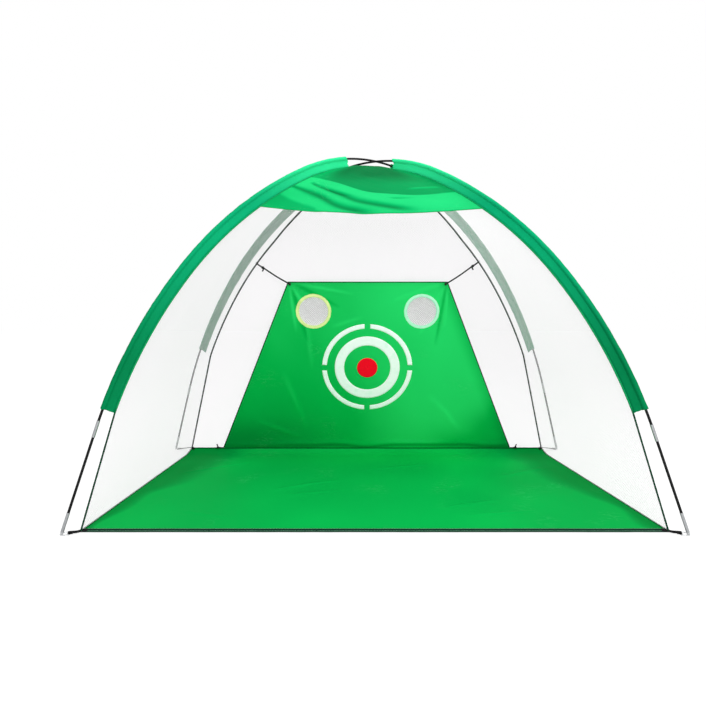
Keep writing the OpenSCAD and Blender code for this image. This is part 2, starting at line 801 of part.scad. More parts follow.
module roof_panel() {
    g = [for (i = [0:roof_rows + cap_rows]) let (
            w = min(1, i / roof_rows),
            k = max(0, i - roof_rows) / cap_rows,
            s = roof_reach + w * (sleeve_top - roof_reach),
            front_l = seam_point("front_left", s),
            front_r = seam_point("front_right", s),
            a = front_l + k * (seam_point("back_left", s) - front_l),
            b = front_r + k * (seam_point("back_right", s) - front_r),
            inset = roof_t / 2 + seam_clear(seam_way("front_left", s), [1, 0, 0]))
        [for (j = [0:roof_columns]) let (
                u = 2 * j / roof_columns - 1,
                x = a[0] + inset + j / roof_columns * (b[0] - a[0] - 2 * inset),
                slack = 1 - u * u,
                z = a[2] + j / roof_columns * (b[2] - a[2]),
                fold = sin(180 * w) * sin(360 * (fold_count * w + 0.45 * u)))
            [x, a[1] + j / roof_columns * (b[1] - a[1]),
             z + slack * (roof_rise * w * (1 - k) - roof_sag * (1 - w) - fold_depth * fold)]]];
    color([0.1, 0.75, 0.42])
        skin(g, roof_t);
}

// ---- Build ----
for (p = [0, 1]) {
    for (n = [1:2 * FOOT + 1]) {
        name = str(POLES[p], "_rod_", n);
        rod(p, n);
    }
    ferrules(p);
    end_tips(p);
    shock_cord(p);
}
for (c = CORNERS) {
    pin(c);
    ring(c);
    strap(c);
    sleeve(c);
    seam(c);
}
net("back_left", "back_right", back_foot);  // back_net
net("front_left", "back_left", side_foot);  // left_side_net
net("front_right", "back_right", side_foot);  // right_side_net
roof_panel();
ground_mat();
mat_front_webbing();
mat_edge_tape();
target_sheet();
bullseye_rings();
bullseye_dot();
for (s = SIDES) {
    pocket_rim(s);
    pocket_net(s);
    top_tie(s);
}
bottom_ties();
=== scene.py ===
import math

import bmesh
import bpy
import numpy as np
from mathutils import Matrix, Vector

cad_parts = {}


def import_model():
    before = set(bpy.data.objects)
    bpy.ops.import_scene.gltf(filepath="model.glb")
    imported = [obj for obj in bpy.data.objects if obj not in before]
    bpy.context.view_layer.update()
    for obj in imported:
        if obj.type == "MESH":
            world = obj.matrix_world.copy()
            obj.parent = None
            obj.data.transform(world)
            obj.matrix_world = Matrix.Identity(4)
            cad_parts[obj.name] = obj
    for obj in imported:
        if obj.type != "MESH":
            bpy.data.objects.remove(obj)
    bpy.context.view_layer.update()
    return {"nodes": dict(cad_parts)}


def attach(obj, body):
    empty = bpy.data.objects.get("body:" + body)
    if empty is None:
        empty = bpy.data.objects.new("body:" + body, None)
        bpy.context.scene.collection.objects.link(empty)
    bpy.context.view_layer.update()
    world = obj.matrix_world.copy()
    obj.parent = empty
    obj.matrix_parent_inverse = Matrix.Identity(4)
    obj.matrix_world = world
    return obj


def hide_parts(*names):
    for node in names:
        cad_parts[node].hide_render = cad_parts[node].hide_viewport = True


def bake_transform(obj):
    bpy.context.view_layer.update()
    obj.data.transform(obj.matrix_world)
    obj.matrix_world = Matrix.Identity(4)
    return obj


# Golf chipping net. The rods, joint sleeves, end tips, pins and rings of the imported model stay,
# and every cloth, net, webbing and cord is made here as what it is.
# Metres. X runs across the mouth, Y into the cage and Z up; the poles cross over the origin.

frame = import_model()

# ---- Sizes, as the part's own source gives them ----
FOOT_SPAN, FOOT_DEPTH, HEIGHT = 2.0, 1.0, 1.36
ROD_D = 0.0085
GAP = 0.0003
CORD_D = 0.0036
SLOPES = np.radians([0.0, 29.0, 54.0, 73.4])
SLEEVE_W, SLEEVE_TOP = 0.036, 0.105
BARE_FRONT, BARE_BACK = 0.405, 0.555
SEAM_D, BACK_SEAM_DROP, SEAM_RAMP = 0.005, 0.072, 0.5
ROOF_REACH, ROOF_SAG, ROOF_RISE = 0.550, 0.026, 0.022
MAT_FRONT_GAP, MAT_BACK_GAP, MAT_T = 0.048, 0.106, 0.0025
HEM_W, HEM_T, TAPE_W, TAPE_T = 0.025, 0.003, 0.008, 0.0035
BACK_LIFT, LIFT_LEN = 0.018, 0.082
SHEET_BOTTOM, SHEET_TOP, SHEET_LEN, SHEET_T = 1.470, 0.756, 0.860, 0.002
SHEET_LEAN = math.radians(12.9)
ROLL_R = 0.0015
BULL_UP, OUTER_RING_R, OUTER_RING_W, RING_BREAK = 0.434, 0.222, 0.023, 0.028
INNER_RING_R, INNER_RING_W, DOT_R = 0.160, 0.046, 0.0505
POCKET_X, POCKET_UP, POCKET_R, POCKET_DEPTH, POCKET_T = 0.260, 0.718, 0.070, 0.042, 0.002
RIM_W = 0.015
NET_T = 0.003
TIE_D, KNOT_D, TIE_REACH, KNOT_BACK, BOTTOM_TIE, TAIL_LEN = 0.004, 0.009, 0.752, 0.032, 0.028, 0.016
STRAP_W, STRAP_T, RING_WIRE, RING_SIDE, EYE_R = 0.020, 0.002, 0.0025, 0.008, 0.0046
TIP_LIFT, TIP_LEN, TIP_SOCKET, TIP_WEB = 0.012, 0.060, 0.020, 0.003

# ---- Thickness of what is made here, and the side of its points that it goes to ----
SLEEVE_CLOTH_T, ROOF_CLOTH_T, MAT_CLOTH_T, SHEET_CLOTH_T = 0.0006, 0.0007, 0.0010, 0.0006
INK_T, WEBBING_T = 0.0002, 0.0010
BEHIND, CENTRED, IN_FRONT = -1.0, 0.0, 1.0
THREAD_LIFT = 0.0002
ROOF_HEM_R, EDGE_HEM_R = 0.0019, 0.0023

UP = np.array([0.0, 0.0, 1.0])
LEG = SLOPES[3]
AZIMUTH = math.atan2(FOOT_DEPTH, FOOT_SPAN)
HALF_SPAN = math.hypot(FOOT_SPAN, FOOT_DEPTH) / 2
CORNERS = ["front_left", "front_right", "back_left", "back_right"]

# ---- The poles' own path: one bend a rod, then the straight foot rod ----
TURNS = np.diff(SLOPES) * [2, 1, 1]
RUNS = np.stack([np.diff(np.sin(SLOPES)), -np.diff(np.cos(SLOPES))], 1) / TURNS[:, None]
BENT = RUNS.sum(0)
BENT_DET = BENT[0] * math.sin(LEG) - BENT[1] * math.cos(LEG)


def rod_length(h):
    return (HALF_SPAN * math.sin(LEG) - h * math.cos(LEG)) / BENT_DET


def half_length(h):
    return 2.5 * rod_length(h) + (BENT[0] * h - BENT[1] * HALF_SPAN) / BENT_DET


def path_at(h, s, drop=0.0):
    """Points [outward, up] of a pole at distances s from the crown, moved inward by drop."""
    s = np.atleast_1d(np.asarray(s, float))
    rod = rod_length(h)
    starts = np.array([0.0, 0.5 * rod, 1.5 * rod])
    radii = rod / TURNS
    centres = [np.array([0.0, h - radii[0]])]
    for k in (1, 2):
        step = np.array([math.sin(SLOPES[k]), math.cos(SLOPES[k])])
        centres.append(centres[-1] + (radii[k - 1] - radii[k]) * step)
    k = (s >= starts[1]).astype(int) + (s >= starts[2])
    slope = np.minimum(LEG, SLOPES[k] + (s - starts[k]) / radii[k])
    reach = (radii[k] - drop)[:, None]
    points = np.array(centres)[k] + reach * np.stack([np.sin(slope), np.cos(slope)], 1)
    past = np.maximum(0, s - 2.5 * rod)[:, None]
    return points + past * np.stack([np.cos(slope), -np.sin(slope)], 1)


class Corner:
    """One of the four feet, with the half of a pole that runs down to it."""

    def __init__(self, name):
        self.name = name
        self.front, self.left = name.startswith("front"), name.endswith("left")
        self.pole = "a" if self.front == self.left else "b"
        self.h = HEIGHT - ROD_D * (0.5 if self.pole == "a" else 1.5) - (0 if self.pole == "a" else GAP)
        self.out = np.array([(-1 if self.left else 1) * math.cos(AZIMUTH),
                             (-1 if self.front else 1) * math.sin(AZIMUTH), 0.0])
        self.across = np.cross(UP, self.out)
        self.half = half_length(self.h)
        self.turn = self.half - (BARE_FRONT if self.front else BARE_BACK)
        self.mat_gap, self.mat_lift = (MAT_FRONT_GAP, 0.0) if self.front else (MAT_BACK_GAP, BACK_LIFT)

    def place(self, p):
        """Points [outward, up] of the pole's plane, put in space."""
        p = np.atleast_2d(p)
        return p[:, :1] * self.out + p[:, 1:2] * UP

    def seam(self, s):
        """Points of the seam at distances s: beside the pole, then straight down to the mat."""
        s = np.atleast_1d(np.asarray(s, float))
        beside = np.minimum(s, self.turn)
        drop = np.full(len(s), SLEEVE_W + GAP + SEAM_D / 2)
        if not self.front:
            drop = drop + (BACK_SEAM_DROP - drop) * np.clip((beside - SLEEVE_TOP) / SEAM_RAMP, None, 1)
        bend = path_at(self.h, beside, drop)
        foot = np.array([HALF_SPAN - self.mat_gap - TAPE_W, self.mat_lift + TAPE_T + GAP + SEAM_D / 2])
        share = (np.maximum(0, s - self.turn) / (self.half - self.turn))[:, None]
        return self.place(bend + share * (foot - bend))


CORNER = {name: Corner(name) for name in CORNERS}


# ---- Noise, meshes and finishing ----
def noise(x, y, cell, seed):
    """Smooth noise from -1 to 1 over a plane, with one random value a cell corner."""
    table = np.random.RandomState(seed).uniform(-1, 1, (64, 64))
    x, y = np.broadcast_arrays(np.asarray(x, float) / cell, np.asarray(y, float) / cell)
    i, j = np.floor(x).astype(int), np.floor(y).astype(int)
    u, v = x - i, y - j
    u, v = u * u * (3 - 2 * u), v * v * (3 - 2 * v)
    low = table[i % 64, j % 64] * (1 - u) + table[(i + 1) % 64, j % 64] * u
    high = table[i % 64, (j + 1) % 64] * (1 - u) + table[(i + 1) % 64, (j + 1) % 64] * u
    return low * (1 - v) + high * v


def smooth(x, low, high):
    """0 below low, 1 above high, and a smooth rise between them."""
    t = np.clip((np.asarray(x, float) - low) / (high - low), 0, 1)
    return t * t * (3 - 2 * t)


def unit(vectors):
    """Vectors scaled to a length of 1."""
    return vectors / np.linalg.norm(vectors, axis=-1, keepdims=True)


def run_of(points):
    """Distance of each point from the first, along the line that they make."""
    return np.concatenate([[0], np.cumsum(np.linalg.norm(np.diff(points, axis=0), axis=1))])


def map_of(across, along):
    """Map of a band in metres, from one row of distances across it and one along it."""
    return np.stack(np.broadcast_arrays(across[None, :], along[:, None]), -1)


def placed(name, data):
    thing = bpy.data.objects.new(name, data)
    bpy.context.scene.collection.objects.link(thing)
    return thing


def add_mesh(name, points, faces, uv, material):
    mesh = bpy.data.meshes.new(name)
    mesh.from_pydata(np.asarray(points, float).reshape(-1, 3).tolist(), [], faces)
    if uv is not None:
        corners = np.zeros(len(mesh.loops), int)
        mesh.loops.foreach_get("vertex_index", corners)
        layer = mesh.uv_layers.new(name="cut")
        layer.data.foreach_set("uv", np.asarray(uv, float).reshape(-1, 2)[corners].ravel())
    mesh.materials.append(material)
    mesh.shade_smooth()
    return placed(name, mesh)


def grid_faces(rows, cols, round_cols=False, flip=False):
    wide = cols if round_cols else cols - 1
    i, j = np.meshgrid(np.arange(rows - 1), np.arange(wide), indexing="ij")
    a, b = i * cols + j, i * cols + (j + 1) % cols
    quads = np.stack([a, b, b + cols, a + cols], -1).reshape(-1, 4)
    return (quads[:, ::-1] if flip else quads).tolist()


def add_grid(name, points, uv, material, flip=False):
    rows, cols = points.shape[:2]
    return add_mesh(name, points, grid_faces(rows, cols, flip=flip), uv, material)


def light_up(piece, lit):
    """Stores how brightly lit the cloth is at each of its points, for its material."""
    layer = piece.data.attributes.new("lit", "FLOAT", "POINT")
    layer.data.foreach_set("value", np.clip(np.asarray(lit, float), 0, 1).ravel())


def thicken(piece, thickness, offset):
    solid = piece.modifiers.new("cloth_thickness", "SOLIDIFY")
    solid.thickness, solid.offset = thickness, offset


def tube(name, path, across_r, up_r, normals, sides, material):
    """Closed tube with an oval section along path; up_r lies along normals. Its map is in metres."""
    path = np.asarray(path, float)
    way = unit(np.gradient(path, axis=0))
    up = unit(normals - (normals * way).sum(1, keepdims=True) * way)
    side = np.cross(way, up)
    across_r, up_r = (np.broadcast_to(r, len(path))[:, None, None] for r in (across_r, up_r))
    turn = np.linspace(0, 2 * math.pi, sides + 1)[None, :, None]
    rings = path[:, None] + np.cos(turn) * side[:, None] * across_r + np.sin(turn) * up[:, None] * up_r
    uv = map_of(turn[0, :, 0] * float(across_r.mean()), run_of(path))
    faces = grid_faces(len(path), sides + 1)
    points = np.concatenate([rings.reshape(-1, 3), path[[0, -1]]])
    first, last, near = len(points) - 2, len(points) - 1, (len(path) - 1) * (sides + 1)
    faces += [[first, k + 1, k] for k in range(sides)]
    faces += [[last, near + k, near + k + 1] for k in range(sides)]
    uv = np.concatenate([uv.reshape(-1, 2), uv[[0, -1], 0]])
    piece = add_mesh(name, points, faces, uv, material)
    weld(piece)
    return piece


def round_cord(name, path, radius, normals, material):
    """Cord round path; normals are one direction for all of it, or one for each point."""
    return tube(name, path, radius, radius, np.broadcast_to(normals, (len(path), 3)), 8, material)


def reworked(piece, change):
    """Lets change work on the mesh of a piece."""
    work = bmesh.new()
    work.from_mesh(piece.data)
    change(work)
    work.to_mesh(piece.data)
    work.free()


def weld(piece, apart=1e-6, outward=True):
    """Joins points that lie closer than apart and, for a closed piece, turns its faces outward."""
    def change(work):
        bmesh.ops.remove_doubles(work, verts=work.verts, dist=apart)
        if outward:
            bmesh.ops.recalc_face_normals(work, faces=work.faces)
    reworked(piece, change)


def steady(path):
    """Normals along a free path that turn as little as they can."""
    way = unit(np.gradient(path, axis=0))
    n = np.cross(way[0], [0.3, 0.9, 0.2])
    normals = []
    for w in way:
        n = unit(n - (n @ w) * w)
        normals.append(n)
    return np.array(normals)


def curve_through(points, steps):
    """Catmull-Rom curve through points."""
    p = np.asarray(points, float)
    p = np.concatenate([[2 * p[0] - p[1]], p, [2 * p[-1] - p[-2]]])
    out = []
    for k in range(1, len(p) - 2):
        t = np.linspace(0, 1, steps, endpoint=False)[:, None]
        a, b, c, d = p[k - 1], p[k], p[k + 1], p[k + 2]
        out.append(0.5 * (2 * b + (c - a) * t + (2 * a - 5 * b + 4 * c - d) * t ** 2
                          + (3 * b - a - 3 * c + d) * t ** 3))
    return np.concatenate(out + [p[-2:-1]])


# ---- Nodes ----
def put(tree, kind, inputs=None, **settings):
    """Adds a node with its settings. An input given as a socket is linked, and any other is set."""
    node = tree.nodes.new(kind)
    for name, value in settings.items():
        setattr(node, name, value)
    for key, value in (inputs or {}).items():
        if isinstance(value, bpy.types.NodeSocket):
            tree.links.new(value, node.inputs[key])
        else:
            node.inputs[key].default_value = value
    return node


def colour(code):
    """Linear colour of an sRGB hex value."""
    parts = [int(code[k:k + 2], 16) / 255 for k in (0, 2, 4)]
    return [p / 12.92 if p <= 0.04045 else ((p + 0.055) / 1.055) ** 2.4 for p in parts] + [1.0]


def new_material(name):
    material = bpy.data.materials.new(name)
    material.use_nodes = True
    material.node_tree.nodes.clear()
    return material, material.node_tree


def mixed(tree, factor, a, b):
    return put(tree, "ShaderNodeMix", {0: factor, 6: a, 7: b}, data_type="RGBA").outputs[2]


def sum_of(tree, operation, a, b=0.0, c=0.0):
    return put(tree, "ShaderNodeMath", {0: a, 1: b, 2: c}, operation=operation).outputs[0]


def place_on(tree, output):
    """Place on the piece: "UV" is its cut's own map in metres, "Object" its place in space."""
    return put(tree, "ShaderNodeTexCoord").outputs[output]


def mapped(tree, vector, turn, scale):
    inputs = {"Vector": vector, "Rotation": (0, 0, turn), "Scale": scale}
    return put(tree, "ShaderNodeMapping", inputs).outputs[0]


def cloudy(tree, vector, scale, detail, distortion=0.0):
    inputs = {"Vector": vector, "Scale": scale, "Detail": detail, "Distortion": distortion}
    return put(tree, "ShaderNodeTexNoise", inputs).outputs["Fac"]


def ranged(tree, value, low, high, first=0.0, last=1.0, **settings):
    """Value with low to high stretched to first to last."""
    inputs = {0: value, 1: low, 2: high, 3: first, 4: last}
    return put(tree, "ShaderNodeMapRange", inputs, **settings).outputs[0]


WAVE = 0.31416  # a band texture of scale WAVE / d repeats every d metres


def bands(tree, vector, apart, direction, inputs=None):
    """Soft bands that lie so many metres apart."""
    return put(tree, "ShaderNodeTexWave", {"Vector": vector, "Scale": WAVE / apart, **(inputs or {})},
               bands_direction=direction).outputs["Fac"]


def weave_of(tree, uv, thread):
    """Threads crossing at right angles."""
    return sum_of(tree, "MULTIPLY", bands(tree, uv, thread, "X"), bands(tree, uv, thread, "Y"))


def bumped(tree, height, strength, distance, **more):
    inputs = {"Height": height, "Strength": strength, "Distance": distance, **more}
    return put(tree, "ShaderNodeBump", inputs).outputs[0]


def coat(tree, tint, rough, inputs):
    inputs = {"Base Color": tint, "Roughness": rough, **inputs}
    return put(tree, "ShaderNodeBsdfPrincipled", inputs).outputs[0]


def either(tree, factor, a, b):
    return put(tree, "ShaderNodeMixShader", {0: factor, 1: a, 2: b}).outputs[0]


def finished(material, tree, shader):
    put(tree, "ShaderNodeOutputMaterial", {0: shader})
    return material


def woven(name, main, deep, pale, thread, through, roughness, gloss=0.02, crease_highlight=0.14, painted_light_steps=()):
    """Coated cloth: threads crossing at right angles, and fine creases left in patches where it was folded
    away, whose crests are painted towards pale as a painted highlight. main is a dye that takes a little
    unevenly towards deep, or three colours of painted shade and light (deep folds in shade, plain cloth and
    lit crests), through which the mesh's own lit attribute goes. The last argument gives (axis, low, high,
    colour) steps of painted light and shade, along which the colour turns lighter or darker."""
    material, tree = new_material(name)
    uv, spot = place_on(tree, "UV"), place_on(tree, "Object")
    weave = weave_of(tree, uv, thread)
    slub = cloudy(tree, uv, 260.0, 2.0)
    crush = cloudy(tree, mapped(tree, uv, 0.5, (1.0, 2.6, 1.0)), 17.0, 2.0, 0.7)
    ridge = sum_of(tree, "ABSOLUTE", sum_of(tree, "SUBTRACT", crush, 0.5))
    folded = ranged(tree, cloudy(tree, uv, 4.6, 1.0), 0.58, 0.72)
    crease = sum_of(tree, "MULTIPLY", ranged(tree, ridge, 0.0, 0.035, 1.0, 0.0), folded)
    if isinstance(main, str):
        tint = mixed(tree, cloudy(tree, spot, 2.2, 2.0), colour(main), colour(deep))
    else:
        lit = put(tree, "ShaderNodeAttribute", attribute_name="lit").outputs["Fac"]
        tint = mixed(tree, ranged(tree, lit, 0.0, 0.6), colour(main[0]), colour(main[1]))
        tint = mixed(tree, ranged(tree, lit, 0.6, 1.0), tint, colour(main[2]))
    # Each step paints light or shade: along an axis of the piece the colour turns towards the step's
    # colour.
    for axis, low, high, code in painted_light_steps:
        along = put(tree, "ShaderNodeSeparateXYZ", {0: spot}).outputs[axis]
        step = ranged(tree, along, low, high, interpolation_type="SMOOTHSTEP")
        tint = mixed(tree, step, tint, colour(code))
    # The crests of the creases are painted paler: a painted highlight on top of their bump.
    tint = mixed(tree, sum_of(tree, "MULTIPLY", crease, crease_highlight), tint, colour(pale))
    fine = sum_of(tree, "MULTIPLY", sum_of(tree, "SUBTRACT", 1.0, weave), 0.10)
    tint = mixed(tree, fine, tint, colour(deep))
    small = bumped(tree, sum_of(tree, "MULTIPLY_ADD", weave, 0.5, slub), 0.25, 0.0004)
    large = bumped(tree, crease, 0.35, 0.003, Normal=small)
    rough = ranged(tree, slub, 0.0, 1.0, roughness - 0.06, roughness + 0.08)
    front = coat(tree, tint, rough, {"Normal": large, "Specular IOR Level": gloss})
    back = put(tree, "ShaderNodeBsdfTranslucent", {"Color": tint, "Normal": large}).outputs[0]
    return finished(material, tree, either(tree, through, front, back))


def webbing(name, main, pale, rib, thread, above=None):
    """Flat webbing: ribs across the band, each made of short floats of a thick yarn. above gives the
    heights between which it turns to another colour."""
    material, tree = new_material(name)
    uv = place_on(tree, "UV")
    yarn = bands(tree, uv, thread, "X", {"Distortion": 1.2, "Detail Scale": 60.0})
    height = sum_of(tree, "MULTIPLY_ADD", bands(tree, uv, rib, "Y"), yarn, cloudy(tree, uv, 900.0, 2.0))
    tint = mixed(tree, sum_of(tree, "MULTIPLY", height, 0.35), colour(main), colour(pale))
    if above:
        high = put(tree, "ShaderNodeSeparateXYZ", {0: place_on(tree, "Object")}).outputs["Z"]
        tint = mixed(tree, ranged(tree, high, above[0], above[1]), tint, colour(above[2]))
    bump = bumped(tree, height, 0.7, 0.0005)
    return finished(material, tree, coat(tree, tint, 0.78, {"Normal": bump, "Specular IOR Level": 0.04}))


def braided(name, main, pale, strand):
    """Round cord braided from many fine strands, which cross in a herringbone along it."""
    material, tree = new_material(name)
    uv = place_on(tree, "UV")
    strands = [bands(tree, mapped(tree, uv, slant, (1.0, 1.0, 1.0)), strand, "X") for slant in (0.9, -0.9)]
    height = sum_of(tree, "MAXIMUM", *strands)
    tint = mixed(tree, height, colour(main), colour(pale))
    bump = bumped(tree, height, 0.8, 0.0004)
    return finished(material, tree, coat(tree, tint, 0.6, {"Normal": bump, "Specular IOR Level": 0.10}))


def steel(name, main, dark, roughness, scratch):
    """Drawn steel under a thin bright zinc plating: even metal with fine scuffs and dull spots."""
    material, tree = new_material(name)
    spot = place_on(tree, "Object")
    scuffs = cloudy(tree, spot, scratch, 4.0, 0.6)
    tint = mixed(tree, cloudy(tree, spot, 160.0, 2.0), colour(main), colour(dark))
    rough = ranged(tree, scuffs, 0.3, 0.75, roughness - 0.08, roughness + 0.16)
    bump = bumped(tree, scuffs, 0.12, 0.0002)
    return finished(material, tree, coat(tree, tint, rough, {"Metallic": 1.0, "Normal": bump}))


def glass_fibre(name, turn):
    """Pultruded glass fibre in black polyester resin: satin, with fine streaks that run along the rod.
    turn is the direction of the pole's plane, because the streaks keep to it."""
    material, tree = new_material(name)
    spot = place_on(tree, "Object")
    along = put(tree, "ShaderNodeVectorRotate", {"Vector": spot, "Angle": -turn}, rotation_type="Z_AXIS")
    streak = cloudy(tree, mapped(tree, along.outputs[0], 0.0, (2.0, 900.0, 2.0)), 1.0, 4.0)
    tint = mixed(tree, streak, colour("070708"), colour("161617"))
    rough = ranged(tree, cloudy(tree, spot, 70.0, 3.0), 0.0, 1.0, 0.30, 0.52)
    bump = bumped(tree, streak, 0.25, 0.0002)
    return finished(material, tree, coat(tree, tint, rough, {
        "Normal": bump, "IOR": 1.52, "Specular IOR Level": 0.12}))


def knitted_net(name, main, pale, pitch, strand):
    """Warp-knitted polyester netting: thin soft threads that cross on the slant round open diamonds."""
    material, tree = new_material(name)
    uv = place_on(tree, "UV")
    parts = put(tree, "ShaderNodeSeparateXYZ", {0: uv})
    threads = []
    for way in (1.0, -1.0):
        slant = sum_of(tree, "MULTIPLY_ADD", parts.outputs[1], way, parts.outputs[0])
        threads.append(sum_of(tree, "LESS_THAN", sum_of(tree, "PINGPONG", slant, pitch / 2), strand / 2))
    fuzz = cloudy(tree, uv, 400.0, 2.0)
    tint = mixed(tree, fuzz, colour(main), colour(pale))
    bump = bumped(tree, fuzz, 0.3, 0.0004)
    front = coat(tree, tint, 0.8, {"Normal": bump, "Specular IOR Level": 0.2})
    back = put(tree, "ShaderNodeBsdfTranslucent", {"Color": tint}).outputs[0]
    clear = put(tree, "ShaderNodeBsdfTransparent").outputs[0]
    mask = sum_of(tree, "MAXIMUM", *threads)
    return finished(material, tree, either(tree, mask, clear, either(tree, 0.5, front, back)))


def printed(name, main, worn, wear):
    """Screen-printed ink on cloth: matt, a little broken where the threads show through it."""
    material, tree = new_material(name)
    uv = place_on(tree, "UV")
    thin = ranged(tree, cloudy(tree, uv, 26.0, 5.0), 0.52, 0.8, 0.0, wear)
    tint = mixed(tree, thin, colour(main), colour(worn))
    bump = bumped(tree, weave_of(tree, uv, 0.0016), 0.25, 0.0003)
    return finished(material, tree, coat(tree, tint, 0.62, {"Normal": bump, "Specular IOR Level": 0.08}))


def plain_thread(name, main, pale):
    """Twisted sewing thread: a soft sheen with a fine twist."""
    material, tree = new_material(name)
    twist = cloudy(tree, place_on(tree, "Object"), 1500.0, 1.0)
    tint = mixed(tree, twist, colour(main), colour(pale))
    return finished(material, tree, coat(tree, tint, 0.5, {"Sheen Weight": 0.3, "Specular IOR Level": 0.3}))


# The rods of the two poles differ only in the direction of their streaks
ROD_A = glass_fibre("pultruded_glass_fibre_pole_a", AZIMUTH)
ROD_B = glass_fibre("pultruded_glass_fibre_pole_b", -AZIMUTH)
TUBE_STEEL = steel("zinc_plated_drawn_steel_tube", "B4B6B8", "8E9092", 0.34, 420.0)
WIRE_STEEL = steel("zinc_plated_bent_steel_wire", "C6C8CA", "A2A4A6", 0.28, 700.0)
# Real threads are about 0.3 mm apart; they are drawn 1.6 mm apart so that the weave shows at all
# The sleeve's steps are painted light and shade: paler up towards the crown, where the cloth is lit from
# above and glows with light through it, and darker on the back sleeves, which are in more shade.
SLEEVE_CLOTH = woven("coated_polyester_taffeta_sleeve", "069C5E", "037B48", "3BE398", 0.0016, 0.22, 0.5,
                     painted_light_steps=[("Z", 0.50, 1.05, "0CB87C"), ("Z", 1.10, 1.34, "34F2A4"),
                           ("Y", 0.05, 0.22, "0A8458")])
# The roof, mat and target cloths take three colours of painted shade and light, from shaded folds through
# plain cloth to lit crests, picked by each mesh's lit attribute.
ROOF_CLOTH = woven("coated_polyester_taffeta_roof", ("00743C", "08BE6A", "24DC82"), "08A455", "6BFFAE",
                   0.0016, 0.20, 0.42)
# The mat's creases carry a stronger painted highlight.
MAT_CLOTH = woven("coated_polyester_oxford_mat", ("007C2E", "03A046", "0CC656"), "08B54A", "5AE68C",
                  0.0020, 0.05, 0.55, gloss=0.008, crease_highlight=0.26)
TARGET_CLOTH = woven("coated_polyester_oxford_target", ("018C3C", "03BA50", "2AE274"), "0AB84A", "5EEB90",
                     0.0018, 0.12, 0.5)
BACK_BINDING = webbing("woven_seam_binding_back", "03150E", "082C1E", 0.0012, 0.0009,
                       above=(1.22, 1.27, "0AA75C"))
FRONT_BINDING = webbing("woven_seam_binding_front", "0A241C", "123428", 0.0012, 0.0009,
                        above=(0.37, 0.40, "0B9C5C"))
# The edge hem's near-black colour is painted shade along the sheet's edges.
EDGE_HEM_SHADE = webbing("woven_edge_hem_painted_shade", "01140E", "042A1C", 0.0012, 0.0009)
ROOF_BINDING = webbing("woven_seam_binding_green", "07A457", "1FC274", 0.0012, 0.0009)
MAT_TAPE = webbing("woven_edge_binding_green", "02401F", "056032", 0.0014, 0.0010)
HEM_WEBBING = webbing("woven_polypropylene_webbing_hem", "0B2A20", "153E31", 0.0020, 0.0012)
STRAP_WEBBING = webbing("woven_polypropylene_webbing_black", "080809", "1E1E20", 0.0018, 0.0011)
# Holes of a real net are about 2 mm; they are drawn 7.5 mm apart so that they show at all
NETTING = knitted_net("warp_knitted_polyester_netting", "F2EAF1", "FFF7FE", 0.0075, 0.0016)
POCKET_TWINE = plain_thread("twisted_polyester_net_twine", "B4B0B2", "C9C5C7")
WHITE_INK = printed("screen_printed_white_ink", "F7FFFC", "C4F8DC", 0.5)
RED_INK = printed("screen_printed_red_ink", "FF0422", "E00620", 0.5)
LEFT_RIM = webbing("folded_polyester_tape_yellow_green", "E9F69A", "F8FEC8", 0.0013, 0.0010)
RIGHT_RIM = webbing("folded_polyester_tape_mint", "ACFBD2", "DCFFEE", 0.0013, 0.0010)
TIE_CORD = braided("braided_polyester_cord_black", "0B0B0B", "2C2C2C", 0.0011)
ELASTIC = braided("braided_elastic_cord_white", "C9C9C4", "F3F3EE", 0.0010)
GREEN_THREAD = plain_thread("twisted_sewing_thread_green", "0B7A43", "2FB873")
PALE_THREAD = plain_thread("twisted_sewing_thread_pale_green", "62C084", "9CE0B4")
BLACK_THREAD = plain_thread("twisted_sewing_thread_black", "101010", "3A3A3A")


# ---- Geometry Nodes: rows of stitches, and a knotted net ----
def new_tree(name, values):
    """Geometry tree with a mesh and named values going in, and its Group Input's sockets by name."""
    tree = bpy.data.node_groups.new(name, "GeometryNodeTree")
    tree.interface.new_socket("Geometry", in_out="INPUT", socket_type="NodeSocketGeometry")
    tree.interface.new_socket("Geometry", in_out="OUTPUT", socket_type="NodeSocketGeometry")
    for label in values:
        kind = "NodeSocketMaterial" if label == "Material" else "NodeSocketFloat"
        tree.interface.new_socket(label, in_out="INPUT", socket_type=kind)
    return tree, put(tree, "NodeGroupInput").outputs


def stitch_tree():
    tree, given = new_tree("stitch_row", ["Pitch", "Length", "Thread", "Material"])
    rows = put(tree, "GeometryNodeMeshToCurve", {0: given["Geometry"]})
    spaced = put(tree, "GeometryNodeResampleCurve", {"Curve": rows.outputs[0], "Length": given["Pitch"]},
                 mode="LENGTH")
    stitch = put(tree, "GeometryNodeMeshUVSphere", {"Segments": 6, "Rings": 4, "Radius": 0.5})
    size = put(tree, "ShaderNodeCombineXYZ", {0: given["Thread"], 1: given["Thread"], 2: given["Length"]})
    way = put(tree, "GeometryNodeInputTangent")
    lie = put(tree, "FunctionNodeAlignRotationToVector", {"Vector": way.outputs[0]}, axis="Z")
    sewn = put(tree, "GeometryNodeInstanceOnPoints", {
        "Points": spaced.outputs[0], "Instance": stitch.outputs[0], "Rotation": lie.outputs[0],
        "Scale": size.outputs[0]})
    real = put(tree, "GeometryNodeRealizeInstances", {0: sewn.outputs[0]})
    done = put(tree, "GeometryNodeSetMaterial", {0: real.outputs[0], "Material": given["Material"]})
    put(tree, "NodeGroupOutput", {0: done.outputs[0]})
    return tree


